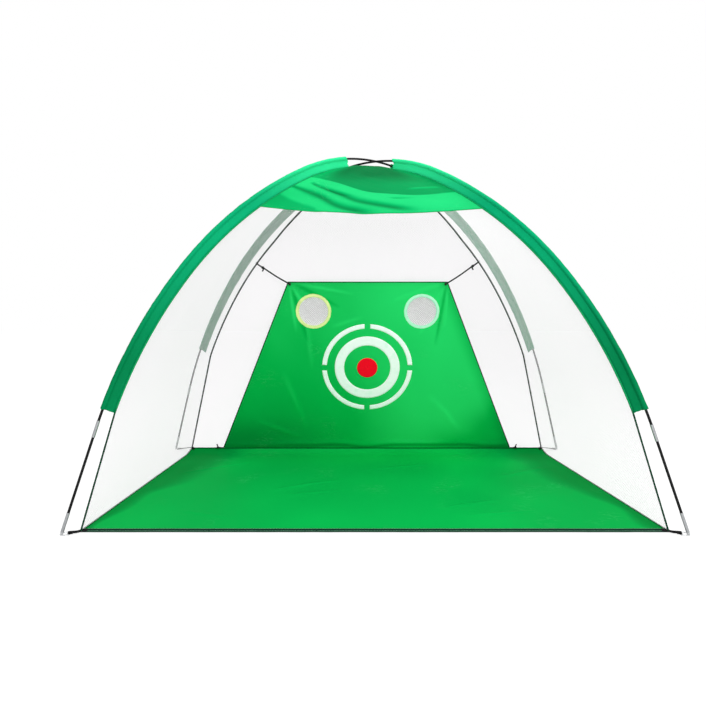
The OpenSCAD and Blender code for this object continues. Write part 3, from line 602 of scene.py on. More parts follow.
def net_tree():
    tree, given = new_tree("knotted_net", ["Twine", "Knot", "Material"])
    lines = put(tree, "GeometryNodeMeshToCurve", {0: given["Geometry"]})
    section = put(tree, "GeometryNodeCurvePrimitiveCircle", {"Resolution": 4, "Radius": given["Twine"]})
    twine = put(tree, "GeometryNodeCurveToMesh", {0: lines.outputs[0], 1: section.outputs[0]})
    ball = put(tree, "GeometryNodeMeshIcoSphere", {"Radius": given["Knot"], "Subdivisions": 1})
    knots = put(tree, "GeometryNodeInstanceOnPoints", {
        "Points": given["Geometry"], "Instance": ball.outputs[0]})
    both = put(tree, "GeometryNodeJoinGeometry")
    for part in (twine, knots):
        tree.links.new(part.outputs[0], both.inputs[0])
    real = put(tree, "GeometryNodeRealizeInstances", {0: both.outputs[0]})
    done = put(tree, "GeometryNodeSetMaterial", {0: real.outputs[0], "Material": given["Material"]})
    put(tree, "NodeGroupOutput", {0: done.outputs[0]})
    return tree


STITCHES, KNOTTED_NET = stitch_tree(), net_tree()


def grown(name, points, edges, tree, **values):
    """Plain mesh that a tree grows from points and edges."""
    mesh = bpy.data.meshes.new(name + "_lines")
    mesh.from_pydata(np.asarray(points).tolist(), edges, [])
    piece = placed(name, mesh)
    nodes = piece.modifiers.new("nodes", "NODES")
    nodes.node_group = tree
    for item in tree.interface.items_tree:
        if item.in_out == "INPUT" and item.name in values:
            nodes[item.identifier] = values[item.name]
    bpy.context.view_layer.update()
    made = bpy.data.meshes.new_from_object(piece.evaluated_get(bpy.context.evaluated_depsgraph_get()))
    piece.modifiers.clear()
    piece.data = made
    made.name = name
    made.shade_smooth()
    return piece


def settle(piece, body, slot, *nodes):
    """Makes a finished piece ride on its body and stand for its CAD nodes, which it hides. slot is not
    used.
    """
    if nodes:
        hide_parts(*nodes)
    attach(piece, body)


def sew(name, rows, thread, body, slot, pitch=0.0055, length=0.0036, width=0.0008):
    """Stitches along rows of points, which ride on body."""
    points, edges = [], []
    for row in rows:
        start = len(points)
        points += np.asarray(row).tolist()
        edges += [(start + k, start + k + 1) for k in range(len(row) - 1)]
    piece = grown(name, points, edges, STITCHES, Pitch=pitch, Length=length, Thread=width, Material=thread)
    settle(piece, body, slot)
    return piece


# ---- Poles and steel, kept as packed ----
for name, node in frame["nodes"].items():
    finish = None
    if name.startswith("pole_") and "_rod_" in name:
        finish = ROD_A if name.startswith("pole_a") else ROD_B
    elif name.endswith(("_ferrules", "_end_tips")):
        finish = TUBE_STEEL
    elif name.endswith(("_pin", "_ring")):
        finish = WIRE_STEEL
    if finish:
        node.data.materials.clear()
        node.data.materials.append(finish)

# ---- Elastic cord inside each pole, knotted in the bores of its end tips ----
ELASTIC_KNOT_R = 0.0027

for pole, corner in (("a", CORNER["front_left"]), ("b", CORNER["front_right"])):
    reach = corner.half - TIP_LIFT - TIP_LEN + TIP_SOCKET + TIP_WEB + GAP
    s = np.linspace(-reach, reach, 300)
    ends = np.array([0.0006, 0.0030])
    s = np.concatenate([-reach - ends[::-1], s, reach + ends])
    line = path_at(corner.h, np.abs(s))
    line[:, 0] *= np.sign(s)
    radius = np.where(np.abs(s) > reach, ELASTIC_KNOT_R, CORD_D / 2)
    path = corner.place(line)
    elastic = round_cord(f"pole_{pole}_elastic", path, radius, corner.across, ELASTIC)
    settle(elastic, "cage", "elastic_cord", f"pole_{pole}_shock_cord")

# ---- Pole sleeves: cloth sewn round the pole, with its two layers left as a flat band ----
TUBE_R = 0.0074
LAYERS_APART = 0.0007
NECK = 0.0088
EDGE_TUCK = 0.0014
BAND_COLS = 6


def sleeve_section():
    """Outline of a sleeve as [inward, across]: one layer of the band, round the pole, and back."""
    band = [[SLEEVE_W + EDGE_TUCK, 1], [0.029, 1.05], [0.021, 1.1], [0.014, 1.0], [0.0105, 0.8],
            [NECK, 0.75]]
    turn = np.radians(np.linspace(34, 326, 17))
    ring = [[TUBE_R * math.cos(t), TUBE_R * math.sin(t)] for t in turn]
    near = [[x, y * LAYERS_APART] for x, y in band]
    return np.array(near + ring + [[x, -y] for x, y in near[::-1]])


sleeve_rows = []
section = sleeve_section()
cols, girth = len(section), run_of(section)
on_tube = np.zeros(cols)
on_tube[BAND_COLS:-BAND_COLS] = 1
for corner in CORNER.values():
    rows = 420 if corner.front else 360
    s = np.linspace(SLEEVE_TOP, corner.turn, rows)
    seed = 10 + CORNERS.index(corner.name)
    # The cut ends run a little askew and ravel
    end = np.abs(s[:, None] - np.array([SLEEVE_TOP, corner.turn])[None, :])
    slip = (np.exp(-end[:, :1] / 0.02) * (0.006 * noise(girth * 120, 0, 1, seed)[None, :] + 0.004)
            + np.exp(-end[:, 1:] / 0.02) * (-0.003 * np.abs(noise(girth * 160, 5, 1, seed))[None, :]
                                            - 0.10 * (SLEEVE_W - section[:, 0])[None, :]))
    along = s[:, None] + slip
    inward, across = (np.tile(section[:, k], (rows, 1)) for k in (0, 1))
    angle = np.arctan2(across, inward)
    # Cloth crowds up on the inside of the bend, so it puckers along the neck and slackens round the pole
    pucker = (0.00045 * noise(along, angle * 0.012, 0.011, seed)
              + 0.0005 * noise(along, angle * 0.03, 0.034, seed + 20))
    hem = 0.0004 * (smooth(s, corner.turn - 0.014, corner.turn - 0.012)
                    + smooth(-s, -SLEEVE_TOP - 0.012, -SLEEVE_TOP - 0.010))
    swell = 1 + on_tube[None, :] * (pucker + 0.00035 + hem[:, None]) / TUBE_R
    inward, across = inward * swell, across * swell
    loose = np.clip((inward - 0.010) / 0.026, 0, 1)
    wave = loose * (0.0016 * noise(along, 0, 0.055, seed + 40) + 0.0007 * noise(along, 3, 0.019, seed + 60))
    across = across + wave * (1 - on_tube)[None, :]
    inward = inward + (1 - on_tube)[None, :] * loose * 0.0006 * noise(along, 9, 0.03, seed + 80)
    line = path_at(corner.h, along.ravel(), inward.ravel())
    grid = (corner.place(line) + across.reshape(-1, 1) * corner.across).reshape(rows, cols, 3)
    uv = np.stack(np.broadcast_arrays(girth[None, :], along), -1)
    sleeve = add_grid(f"{corner.name}_pole_sleeve", grid, uv, SLEEVE_CLOTH, flip=True)
    thicken(sleeve, SLEEVE_CLOTH_T, BEHIND)
    settle(sleeve, "cage", "sleeve_cloth", f"{corner.name}_sleeve")
    # Sewn close to the pole, along the inner edge of the band, and across both hems
    for col, lift in ((4, 1), (1, 1), (-5, -1), (-2, -1)):
        sleeve_rows.append(grid[4:-4, col] + lift * THREAD_LIFT * corner.across)
    for row in (9, -10):
        middle = corner.place(path_at(corner.h, s[row]))
        sleeve_rows.append(grid[row] + unit(grid[row] - middle) * THREAD_LIFT)
sew("sleeve_stitches", sleeve_rows, GREEN_THREAD, "cage", "sleeve_cloth")

# ---- Seam bindings: tape folded over the edges of the nets and the sleeve ----
seam_rows = []
for corner in CORNER.values():
    s = np.linspace(SLEEVE_TOP, corner.half, 320)
    path = corner.seam(s)
    seed = 110 + CORNERS.index(corner.name)
    inward = np.cross(np.gradient(path, axis=0), corner.across)
    deep = (0.0030 if corner.front else 0.0043) + 0.0002 * noise(s, 0, 0.012, seed)
    wide = 0.0032 + 0.0003 * noise(s, 4, 0.016, seed)
    binding = tube(f"{corner.name}_seam_binding", path, wide, deep, inward, 10,
                   FRONT_BINDING if corner.front else BACK_BINDING)
    settle(binding, "cage", "seam_tape", f"{corner.name}_seam")
    for side in (1, -1):
        seam_rows.append(path + side * (wide + 0.0001)[:, None] * corner.across)
sew("seam_stitches", seam_rows, GREEN_THREAD, "cage", "seam_tape", pitch=0.006)


# ---- Where the mat lies ----
MAT_FRONT = -(HALF_SPAN - MAT_FRONT_GAP) * math.sin(AZIMUTH)
MAT_BACK = (HALF_SPAN - MAT_BACK_GAP) * math.sin(AZIMUTH)
FRONT_HALF = (HALF_SPAN - MAT_FRONT_GAP) * math.cos(AZIMUTH)
BACK_HALF = (HALF_SPAN - MAT_BACK_GAP) * math.cos(AZIMUTH)
LIFT_FROM = MAT_BACK - LIFT_LEN
LIFT_RADIUS = (LIFT_LEN ** 2 + BACK_LIFT ** 2) / (2 * BACK_LIFT)


def mat_base(y):
    """Height of the underside of the mat, which the nets lift along the back."""
    past = np.clip(np.asarray(y, float) - LIFT_FROM, 0, None)
    return LIFT_RADIUS - np.sqrt(LIFT_RADIUS ** 2 - past ** 2)


def mat_half(y):
    """Half the width of the mat at depth y."""
    past = np.asarray(y, float) - MAT_FRONT
    return FRONT_HALF + (BACK_HALF - FRONT_HALF) * past / (MAT_BACK - MAT_FRONT)


# ---- Nets, stretched between the seams ----
NET_TOP = SLEEVE_TOP + 0.012
NET_OVER_TAPE = 0.0006
NET_ROWS = 150


def netting(name, node, first, second, cols, seed):
    """Net between the seams of two corners, given by their names."""
    first, second = CORNER[first], CORNER[second]
    t = np.linspace(0, 1, NET_ROWS)
    a, b = (corner.seam(NET_TOP + t * (corner.half - NET_TOP)) for corner in (first, second))
    v = np.linspace(0, 1, cols)[None, :, None]
    points = a[:, None] + v * (b - a)[:, None]
    down = np.gradient(points, axis=0)
    over = np.gradient(points, axis=1)
    normal = unit(np.cross(down, over))
    wide = np.linalg.norm(b - a, axis=1)[:, None]
    x = (v[:, :, 0] - 0.5) * wide
    y = run_of((a + b) / 2)[:, None] + 0 * x
    # Tension runs down the net in long shallow waves, and is still where the net is sewn
    free = np.sin(math.pi * v[:, :, 0]) ** 0.6 * np.sin(math.pi * t)[:, None] ** 0.5
    slack = free * (0.0026 * noise(x, y * 0.25, 0.09, seed)
                    + 0.0016 * noise(x + y * 0.3, y * 0.2, 0.035, seed + 1))
    points = points + slack[:, :, None] * normal
    # The lowest rows run down to the edge of the mat, which they are sewn to
    low = smooth(t, 0.90, 1.0)[:, None]
    floor_at = mat_base(points[:, :, 1]) + TAPE_T + NET_OVER_TAPE
    points[:, :, 2] += low * np.minimum(floor_at[-1:] - points[-1:, :, 2], 0)
    piece = add_grid(name, points, np.stack([x, y], -1), NETTING)
    weld(piece)
    settle(piece, "cage", "white_net", node)


netting("back_netting", "back_net", "back_left", "back_right", 140, 200)
netting("left_side_netting", "left_side_net", "front_left", "back_left", 70, 210)
netting("right_side_netting", "right_side_net", "back_right", "front_right", 70, 220)

# ---- Roof: slack cloth between the front sleeves, with a cap under the crossing ----
# Lines over the roof, as (share across from -1 to 1, share of the way up): the brow below which the
# cloth hangs forward into the light, the edge of the shaded left corner, and the valleys
BROW = [(-0.98, 0.57), (-0.46, 0.46), (-0.09, 0.345), (0.21, 0.30), (0.59, 0.27), (1.0, 0.30)]
CORNER_EDGE = [(-1.0, 0.24), (-0.80, 0.15), (-0.55, 0.07), (-0.34, -0.02), (1.0, -0.4)]
# line, where it starts and stops, width above and below it, depth
VALLEYS = [
    ([(-0.80, 0.43), (-0.70, 0.39), (-0.36, 0.275), (-0.16, 0.19), (0.10, 0.125), (0.45, 0.04)],
     -0.86, 0.50, 0.020, 0.030, 0.72),
    ([(-1.0, 0.37), (-0.90, 0.335), (-0.565, 0.225), (-0.31, 0.095), (0.02, 0.01)],
     -1.10, 0.12, 0.022, 0.032, 0.72),
    ([(-0.60, 0.36), (-0.30, 0.27), (0.0, 0.215), (0.4, 0.20)], -0.62, -0.05, 0.008, 0.012, 0.30),
    ([(0.10, 0.225), (0.30, 0.215), (0.52, 0.215)], 0.16, 0.52, 0.007, 0.010, 0.45),
]


def line_over(points, u):
    line = curve_through(points, 8)
    return np.interp(u, line[:, 0], line[:, 1])


def roof_light(u, w):
    """How brightly each part of the roof is lit: 0 in the deepest shade, 1 on the crests."""
    below = line_over(BROW, u) - w
    lit = 0.30 + 0.66 * smooth(below, -0.006, 0.030) - 0.10 * smooth(below, 0.12, 0.30)
    lit = lit - 0.30 * smooth(w, 0.42, 0.72) * (1 - smooth(np.abs(u), 0.45, 0.95))
    lit = lit + 0.22 * smooth(w, 0.35, 0.60) * smooth(-u, 0.55, 0.95)
    crest = smooth(u, 0.42, 0.60) * (1 - smooth(u, 0.80, 0.95))
    lit = lit + 0.30 * np.exp(-((w - 0.36 - 0.03 * u) / 0.014) ** 2) * crest
    for points, start, stop, above, under, depth in VALLEYS:
        off = w - line_over(points, u)
        wide = np.where(off > 0, above, under) * (0.6 + 0.9 * smooth(u, start, 0.5 * (start + stop)))
        reach = smooth(u, start, start + 0.10) * (1 - smooth(u, stop - 0.30, stop))
        lit = lit - depth * reach * np.exp(-(off / wide) ** 2)
    lit = lit - 0.40 * smooth(line_over(CORNER_EDGE, u) - w, 0.0, 0.04)
    return np.clip(lit + 0.05 * noise(u * 3, w * 9, 1, 41), 0, 1)


def roof():
    rows, cap, cols = 110, 20, 190
    w = np.concatenate([np.linspace(0, 1, rows), np.ones(cap)])[:, None]
    k = np.concatenate([np.zeros(rows), np.linspace(0, 1, cap + 1)[1:]])[:, None]
    s = (ROOF_REACH + w * (SLEEVE_TOP - ROOF_REACH))[:, 0]
    sides = [[CORNER[f"{end}_{side}"].seam(s) for end in ("front", "back")] for side in ("left", "right")]
    a, b = (front + k * (back - front) for front, back in sides)
    v = np.linspace(0, 1, cols)[None, :]
    u = 2 * v - 1
    points = a[:, None] + v[:, :, None] * (b - a)[:, None]
    slack = 1 - u * u
    lift = 0.8 * (1 - u ** 4) * ROOF_RISE * w * (1 - k) - slack * ROOF_SAG * (1 - w)
    # Lit cloth stands proud of the valleys between
    lit = roof_light(u, w + 0 * u) * (1 - k)
    lift = lift + 0.0085 * (lit - 0.3) * slack ** 0.5 * (1 - k)
    drawn = w + 0.30 * u
    ripple = 0.0008 * noise(u * 1.6, drawn * 16, 1, 31) + 0.0004 * noise(u * 4, drawn * 34, 1, 32)
    lift = lift + slack * (1 - k) * ripple
    lift = lift + 0.0012 * slack * k * noise(u * 14, k * 3, 1, 33)
    points[:, :, 2] += lift
    x = (v - 0.5) * np.linalg.norm(b - a, axis=1)[:, None]
    y = run_of((a + b) / 2)[:, None] + 0 * x
    piece = add_grid("roof_cloth", points, np.stack([x, y], -1), ROOF_CLOTH)
    light_up(piece, lit)
    thicken(piece, ROOF_CLOTH_T, CENTRED)
    settle(piece, "cage", "roof_cloth", "roof_panel")
    # The front edge is rolled over a cord and sewn
    roll = round_cord("roof_front_hem", points[0], ROOF_HEM_R, UP, ROOF_BINDING)
    settle(roll, "cage", "roof_cloth")
    sew("roof_stitches", [points[row] + 0.0005 * UP for row in (3, -3)], GREEN_THREAD, "cage", "roof_cloth")


roof()


# ---- Ground mat ----
def crease(x, y, a, b, wide):
    """1 along the line from a to b, fading across it and towards its ends."""
    a, b = np.asarray(a), np.asarray(b)
    long = np.linalg.norm(b - a)
    way = (b - a) / long
    t = ((x - a[0]) * way[0] + (y - a[1]) * way[1]) / long
    off = (x - a[0]) * -way[1] + (y - a[1]) * way[0]
    return np.exp(-(off / wide) ** 2) * np.clip(4 * t * (1 - t), 0, 1)


MAT_CREASES = [
    ((-0.40, -0.10), (-0.12, 0.02), 0.012, 0.0035), ((-0.34, -0.16), (-0.10, -0.10), 0.010, 0.0025),
    ((0.26, -0.28), (0.50, -0.20), 0.012, 0.0030), ((0.30, -0.35), (0.62, -0.30), 0.010, 0.0022),
    ((0.55, 0.05), (0.85, 0.20), 0.014, 0.0030), ((-0.85, 0.10), (-0.55, 0.28), 0.014, 0.0028),
    ((-0.70, -0.30), (-0.45, -0.38), 0.012, 0.0020), ((-0.02, 0.15), (0.30, 0.24), 0.012, 0.0022),
]


MAT_FACE, MAT_DIP = 0.0017, 0.0008  # height of the cloth's upper face, and how far it may sink below it


def mat():
    rows, cols = 170, 250
    y = np.linspace(MAT_FRONT + 0.004, MAT_BACK - 0.002, rows)[:, None]
    v = np.linspace(-1, 1, cols)[None, :]
    x = v * (mat_half(y) - 0.002)
    side = mat_half(y) - np.abs(x)
    free = smooth(np.minimum(side, MAT_BACK - y), 0.004, 0.06)
    free = free * smooth(y, MAT_FRONT + 0.024, MAT_FRONT + 0.07)
    rise = 0.0012 * noise(x, y, 0.16, 300) + 0.0004 * noise(x + 0.4 * y, y, 0.06, 301)
    for a, b, wide, high in MAT_CREASES:
        rise = rise + high * crease(x, y, a, b, wide)
    # The cloth stands a little proud of the webbing that it is sewn under
    bead = 0.0014 * np.exp(-((y - MAT_FRONT - HEM_W - 0.004) / 0.004) ** 2)
    z = mat_base(y) + MAT_FACE + free * np.maximum(rise, -MAT_DIP) + bead + 0 * x
    piece = add_grid("mat_cloth", np.stack([x, y + 0 * x, z], -1), np.stack([x, y + 0 * x], -1), MAT_CLOTH)
    # The cloth is in more shade at the back, most of all in its two corners and along its edges
    lit = 0.82 + 0.18 * smooth(y, 0.10, 0.40) - 0.34 * smooth(y, 0.22, 0.42) * smooth(np.abs(x), 0.42, 0.80)
    band = 0.055 + 0.23 * smooth(y, MAT_FRONT, MAT_BACK) + 0.040 * noise(y, np.sign(x), 0.14, 321)
    lit = lit - 0.50 * (1 - smooth(side, 0.35 * band, band)) + 0.07 * noise(x, y, 0.20, 320)
    light_up(piece, lit - 0.04)
    thicken(piece, MAT_CLOTH_T, BEHIND)
    settle(piece, "cage", "mat_cloth", "ground_mat")
    return piece


def swept(name, path, section, flip, material):
    """Closed band of a fixed section carried along path; flip is the side that its first axis points to."""
    path = np.asarray(path, float)
    side = unit(np.cross(UP, unit(np.gradient(path, axis=0))) * flip)
    section = np.asarray(section, float)
    rings = path[:, None] + section[None, :, :1] * side[:, None] + section[None, :, 1:] * UP
    count = len(section)
    uv = map_of(run_of(section), run_of(path))
    faces = grid_faces(len(path), count, round_cols=True)
    faces.append(list(range(count))[::-1])
    faces.append([(len(path) - 1) * count + k for k in range(count)])
    piece = add_mesh(name, rings, faces, uv, material)
    weld(piece)
    return piece


def rounded(wide, thick):
    """Section of a tape: a flat band with round edges, from 0 to wide and 0 to thick."""
    r = thick / 2
    turn = np.linspace(-math.pi / 2, math.pi / 2, 5)
    right = np.stack([wide - r + r * np.cos(turn), r + r * np.sin(turn)], 1)
    left = np.stack([r - r * np.cos(turn), r - r * np.sin(turn)], 1)
    top = [[r + (wide - 2 * r) * t, thick] for t in (0.75, 0.5, 0.25)]
    bottom = [[r + (wide - 2 * r) * t, 0] for t in (0.25, 0.5, 0.75)]
    return np.concatenate([right, top, left, bottom])


def mat_bindings():
    y = np.linspace(MAT_FRONT + HEM_W, MAT_BACK, 150)
    left, right = (np.stack([side * mat_half(y), y], 1) for side in (-1, 1))
    x = np.linspace(-BACK_HALF, BACK_HALF, 240)[1:-1]
    edge = np.concatenate([left, np.stack([x, np.full(len(x), MAT_BACK)], 1), right[::-1]])
    # The two back corners are turned with a small radius
    path = np.column_stack([edge, mat_base(edge[:, 1])])
    for _ in range(3):
        path[1:-1] = (path[:-2] + 2 * path[1:-1] + path[2:]) / 4
    long = np.arange(len(path)) * 0.006
    path[:, 2] += 0.0003 * noise(long, 0, 0.03, 310)
    tape = swept("mat_edge_binding", path, rounded(TAPE_W, TAPE_T), -1, MAT_TAPE)
    settle(tape, "cage", "mat_tape", "mat_edge_tape")
    x = np.linspace(-FRONT_HALF, FRONT_HALF, 320)
    front = np.stack([x, np.full(len(x), MAT_FRONT), 0.0002 * (1 + noise(x, 0, 0.05, 311))], 1)
    hem = swept("mat_hem_webbing", front, rounded(HEM_W, HEM_T), 1, HEM_WEBBING)
    settle(hem, "cage", "dark_webbing", "mat_front_webbing")
    side = -np.cross(UP, unit(np.gradient(path, axis=0)))
    # Sewn along the inner edge of the tape
    binding_row = path + side * (TAPE_W - 0.0018) + UP * (TAPE_T + 0.0001)
    tape_sewn = sew("mat_binding_stitches", [binding_row], GREEN_THREAD, "cage", "mat_tape")
    rows = [front + [0, y, HEM_T + THREAD_LIFT] for y in (HEM_W - 0.003, 0.004)]
    hem_sewn = sew("mat_hem_stitches", rows, PALE_THREAD, "cage", "dark_webbing",
                   pitch=0.005, length=0.0038, width=0.0011)
    return [tape, hem, tape_sewn, hem_sewn]


mat()
mat_bindings()

# ---- Target: an upright frame that leans with the sheet, with its origin on the bottom hem ----
SEAT_R = LIFT_RADIUS - TAPE_T - ROLL_R - GAP
SEAT = math.asin((LIFT_LEN - TAPE_W / 2) / LIFT_RADIUS)
HINGE = np.array([0.0, LIFT_FROM + SEAT_R * math.sin(SEAT), LIFT_RADIUS - SEAT_R * math.cos(SEAT)])
SHEET_UP = np.array([0.0, -math.sin(SHEET_LEAN), math.cos(SHEET_LEAN)])
SHEET_FRONT = np.array([0.0, -math.cos(SHEET_LEAN), -math.sin(SHEET_LEAN)])


def on_sheet(x, up, ahead=0.0):
    """Points of the sheet's plane in space; ahead is the distance in front of it."""
    x, up, ahead = np.broadcast_arrays(x, up, ahead)
    return (x[..., None] * [1.0, 0, 0] + up[..., None] * SHEET_UP + ahead[..., None] * SHEET_FRONT) + HINGE


def on_folds(x, up, ahead=0.0):
    """Points of the sheet as its folds lie, and ahead of them."""
    return on_sheet(x, up, billow(x, up) + ahead)


def half_at(up):
    """Half the width of the sheet at a height up it."""
    return (SHEET_BOTTOM + (SHEET_TOP - SHEET_BOTTOM) * up / SHEET_LEN) / 2


TOP_HALF = SHEET_TOP / 2
CLOTH_AHEAD, PRINT_AHEAD, HEM_THREAD_AHEAD, RIM_THREAD_AHEAD = 0.0003, 0.0006, 0.0005, 0.0021
HEM_FOLD = 0.009
TWINE_R, TWINE_KNOT_R, TWINE_BACK = 0.00088, 0.0015, 0.0016
# Creases that the cords pull from the two top corners, and folds where the sheet was packed:
# from, to, width and height
PULLS = [
    ((-0.372, 0.854), (-0.235, 0.640), 0.0095, 0.0042), ((-0.366, 0.850), (-0.290, 0.560), 0.0085, -0.0034),
    ((-0.374, 0.850), (-0.345, 0.610), 0.0080, 0.0030), ((-0.360, 0.856), (-0.130, 0.735), 0.0090, -0.0030),
    ((-0.352, 0.856), (-0.060, 0.800), 0.0075, 0.0022), ((-0.300, 0.700), (-0.270, 0.420), 0.0120, 0.0022),
    ((0.372, 0.854), (0.250, 0.600), 0.0090, 0.0030), ((0.374, 0.850), (0.330, 0.540), 0.0085, -0.0034),
    ((0.360, 0.856), (0.120, 0.770), 0.0085, 0.0020), ((0.378, 0.850), (0.372, 0.640), 0.0070, 0.0026),
    ((-0.420, 0.420), (-0.300, 0.100), 0.0160, 0.0024), ((0.300, 0.300), (0.480, 0.090), 0.0160, 0.0022),
    ((-0.180, 0.640), (-0.020, 0.690), 0.0110, 0.0014), ((-0.560, 0.150), (-0.330, 0.060), 0.0130, 0.0026),
]


def billow(x, up):
    """How far the hanging sheet stands in front of its plane."""
    x, up = np.broadcast_arrays(np.asarray(x, float), np.asarray(up, float))
    share = up / SHEET_LEN
    rise = 0.004 * np.sin(math.pi * share) * np.cos(math.pi * x / 1.6)
    for a, b, wide, high in PULLS:
        rise = rise + high * crease(x, up, a, b, wide)
    rise = rise + 0.0010 * noise(x + 0.5 * up, up * 0.5, 0.13, 400)
    rise = rise + 0.0002 * noise(x + 0.3 * up, up, 0.045, 401)
    # Slack gathers along the bottom, where the sheet rolls on to the mat
    low = np.exp(-((up - 0.024 - 0.006 * noise(x, 0, 0.16, 402)) / 0.012) ** 2)
    rise = rise + low * (0.0028 + 0.0016 * noise(x, 0, 0.12, 403))
    still = smooth(up, 0.0, 0.012)
    return rise * still


def sheet_light(x, up):
    """How brightly each part of the sheet is lit: brightest at the right, darkest low down at the left."""
    lit = 0.60 + 0.36 * smooth(x, -0.42, 0.42)
    lit = lit + 0.10 * smooth(up, 0.35, 0.80) * (1 - smooth(x, -0.1, 0.4))
    lit = lit - 0.22 * (1 - smooth(up, 0.04, 0.42)) * (1 - smooth(x, -0.20, 0.30))
    ragged = up + 0.10 * noise(x, 0, 0.30, 440)
    lit = lit - 0.34 * (1 - smooth(ragged, 0.02, 0.17)) * smooth(np.abs(x), 0.15, 0.60)
    lit = lit - 0.42 * (1 - smooth(up - 0.45 * (x - 0.50), 0.04, 0.26)) * smooth(x, 0.30, 0.66)
    lit = lit - 0.20 * (1 - smooth(half_at(up) - np.abs(x), 0.0, 0.07)) * smooth(x, -0.2, 0.3)
    low = 0.012 + 0.006 * noise(x, 0, 0.16, 402)
    lit = lit - 0.55 * np.exp(-((up - low) / 0.0075) ** 2) - 0.12 * (1 - smooth(up, 0.0, 0.06))
    for a, b, wide, high in PULLS:
        lit = lit + high / 0.0042 * (0.42 if b[1] > 0.5 else 0.24) * crease(x, up, a, b, wide * 0.9)
    return lit + 0.04 * noise(x + 0.3 * up, up * 0.7, 0.13, 441)


def target():
    cell = 0.006
    rows, cols = int(SHEET_LEN / cell) + 1, int(SHEET_BOTTOM / cell) + 1
    up = np.linspace(0, SHEET_LEN, rows)[:, None]
    v = np.linspace(-1, 1, cols)[None, :]
    x = v * half_at(up)
    up = up + 0 * x
    hole = POCKET_R + 0.003
    keep = np.ones((rows - 1, cols - 1), bool)
    for side in (-1, 1):
        dx, dz = x - side * POCKET_X, up - POCKET_UP
        far = np.hypot(dx, dz)
        near = np.abs(far - hole) < 0.45 * cell
        pull = np.where(near, hole / np.maximum(far, 1e-6), 1.0)
        x, up = side * POCKET_X + dx * pull, POCKET_UP + dz * pull
        inside = np.hypot(x - side * POCKET_X, up - POCKET_UP) < hole - 1e-5
        keep &= ~(inside[:-1, :-1] | inside[1:, :-1] | inside[:-1, 1:] | inside[1:, 1:])
    points = on_folds(x, up, CLOTH_AHEAD)
    faces = [f for f, k in zip(grid_faces(rows, cols), keep.ravel()) if k]
    piece = add_mesh("target_cloth", points, faces, np.stack([x, up], -1), TARGET_CLOTH)
    light_up(piece, sheet_light(x, up))
    reworked(piece, lambda work: bmesh.ops.delete(
        work, geom=[p for p in work.verts if not p.link_faces], context="VERTS"))
    thicken(piece, SHEET_CLOTH_T, BEHIND)
    settle(piece, "target", "sheet_cloth", "target_sheet")
    return piece


def disc(name, material, slot, node, arcs):
    """Printed shapes round the middle of the bullseye. Each of arcs gives radii, and a rule for the two
    angles between which the shape runs at a radius."""
    steps = 48
    points, faces, uv = [], [], []
    for r, ends in arcs:
        count = len(r)
        turns = [np.linspace(*ends(q), steps) for q in r]
        grid = np.array([[q * np.cos(turn), q * np.sin(turn)] for q, turn in zip(r, turns)])
        start = len(points)
        x, up = grid[:, 0], grid[:, 1] + BULL_UP
        points += on_folds(x, up, PRINT_AHEAD).reshape(-1, 3).tolist()
        uv += np.stack([x, up], -1).reshape(-1, 2).tolist()
        faces += [[start + k for k in f] for f in grid_faces(count, steps, flip=True)]
    piece = add_mesh(name, points, faces, uv, material)
    weld(piece, 1e-5, outward=False)
    thicken(piece, INK_T, IN_FRONT)
    settle(piece, "target", slot, node)
    return piece


def broken(quarter):
    """Ends of a quarter of the outer ring, whose gaps have parallel sides."""
    def ends(r):
        gap = math.asin(RING_BREAK / 2 / r)
        return quarter * math.pi / 2 + gap, (quarter + 1) * math.pi / 2 - gap
    return ends


def whole(part):
    return lambda r: (part * math.pi / 2, (part + 1) * math.pi / 2)


def prints():
    outer = np.linspace(OUTER_RING_R - OUTER_RING_W, OUTER_RING_R, 5)
    inner = np.linspace(INNER_RING_R - INNER_RING_W, INNER_RING_R, 8)
    arcs = [(outer, broken(k)) for k in range(4)] + [(inner, whole(k)) for k in range(4)]
    rings = disc("printed_rings", WHITE_INK, "white_print", "bullseye_rings", arcs)
    arcs = [(np.linspace(0.0005, DOT_R, 9), whole(k)) for k in range(4)]
    dot = disc("printed_dot", RED_INK, "red_print", "bullseye_dot", arcs)
    return [rings, dot]


def rim(side, word, material):
    """Tape folded over the edge of a pocket's hole, eased round the curve in small puckers."""
    around, turn = 180, np.linspace(0, 2 * math.pi, 181)[:-1]
    across = np.array([[0.0, -0.0016], [0.0, 0.0], [0.0009, 0.0012], [0.0035, 0.0016], [0.0075, 0.0017],
                       [0.0115, 0.0016], [0.0141, 0.0012], [0.0150, 0.0004], [0.0150, -0.0003],
                       [0.0075, -0.0006], [0.0020, -0.0016]])
    pucker = 1 + 0.30 * noise(np.cos(turn) * 1.2, np.sin(turn) * 1.2, 0.11, 430 + side)[:, None]
    r = POCKET_R + across[None, :, 0] + 0.0005 * noise(turn, 0, 0.09, 431)[:, None]
    x, up = side * POCKET_X + r * np.cos(turn)[:, None], POCKET_UP + r * np.sin(turn)[:, None]
    proud = np.maximum(across[:, 1], 0)[None, :] * pucker + np.minimum(across[:, 1], 0)[None, :]
    points = on_folds(x, up, CLOTH_AHEAD + proud)
    count = len(across)
    faces = (np.array(grid_faces(around + 1, count, round_cols=True)) % (around * count)).tolist()
    uv = map_of(run_of(across), turn * POCKET_R)
    piece = add_mesh(f"{word}_rim_tape", points, faces, uv, material)
    weld(piece)
    settle(piece, "target", "rim_tape", f"{word}_pocket_rim")
    rows = []
    loop = np.append(turn, turn[0])
    for out_from_edge in (0.0022, 0.0128):
        q = POCKET_R + out_from_edge
        px, pz = side * POCKET_X + q * np.cos(loop), POCKET_UP + q * np.sin(loop)
        rows.append(on_folds(px, pz, RIM_THREAD_AHEAD))
    return piece, rows


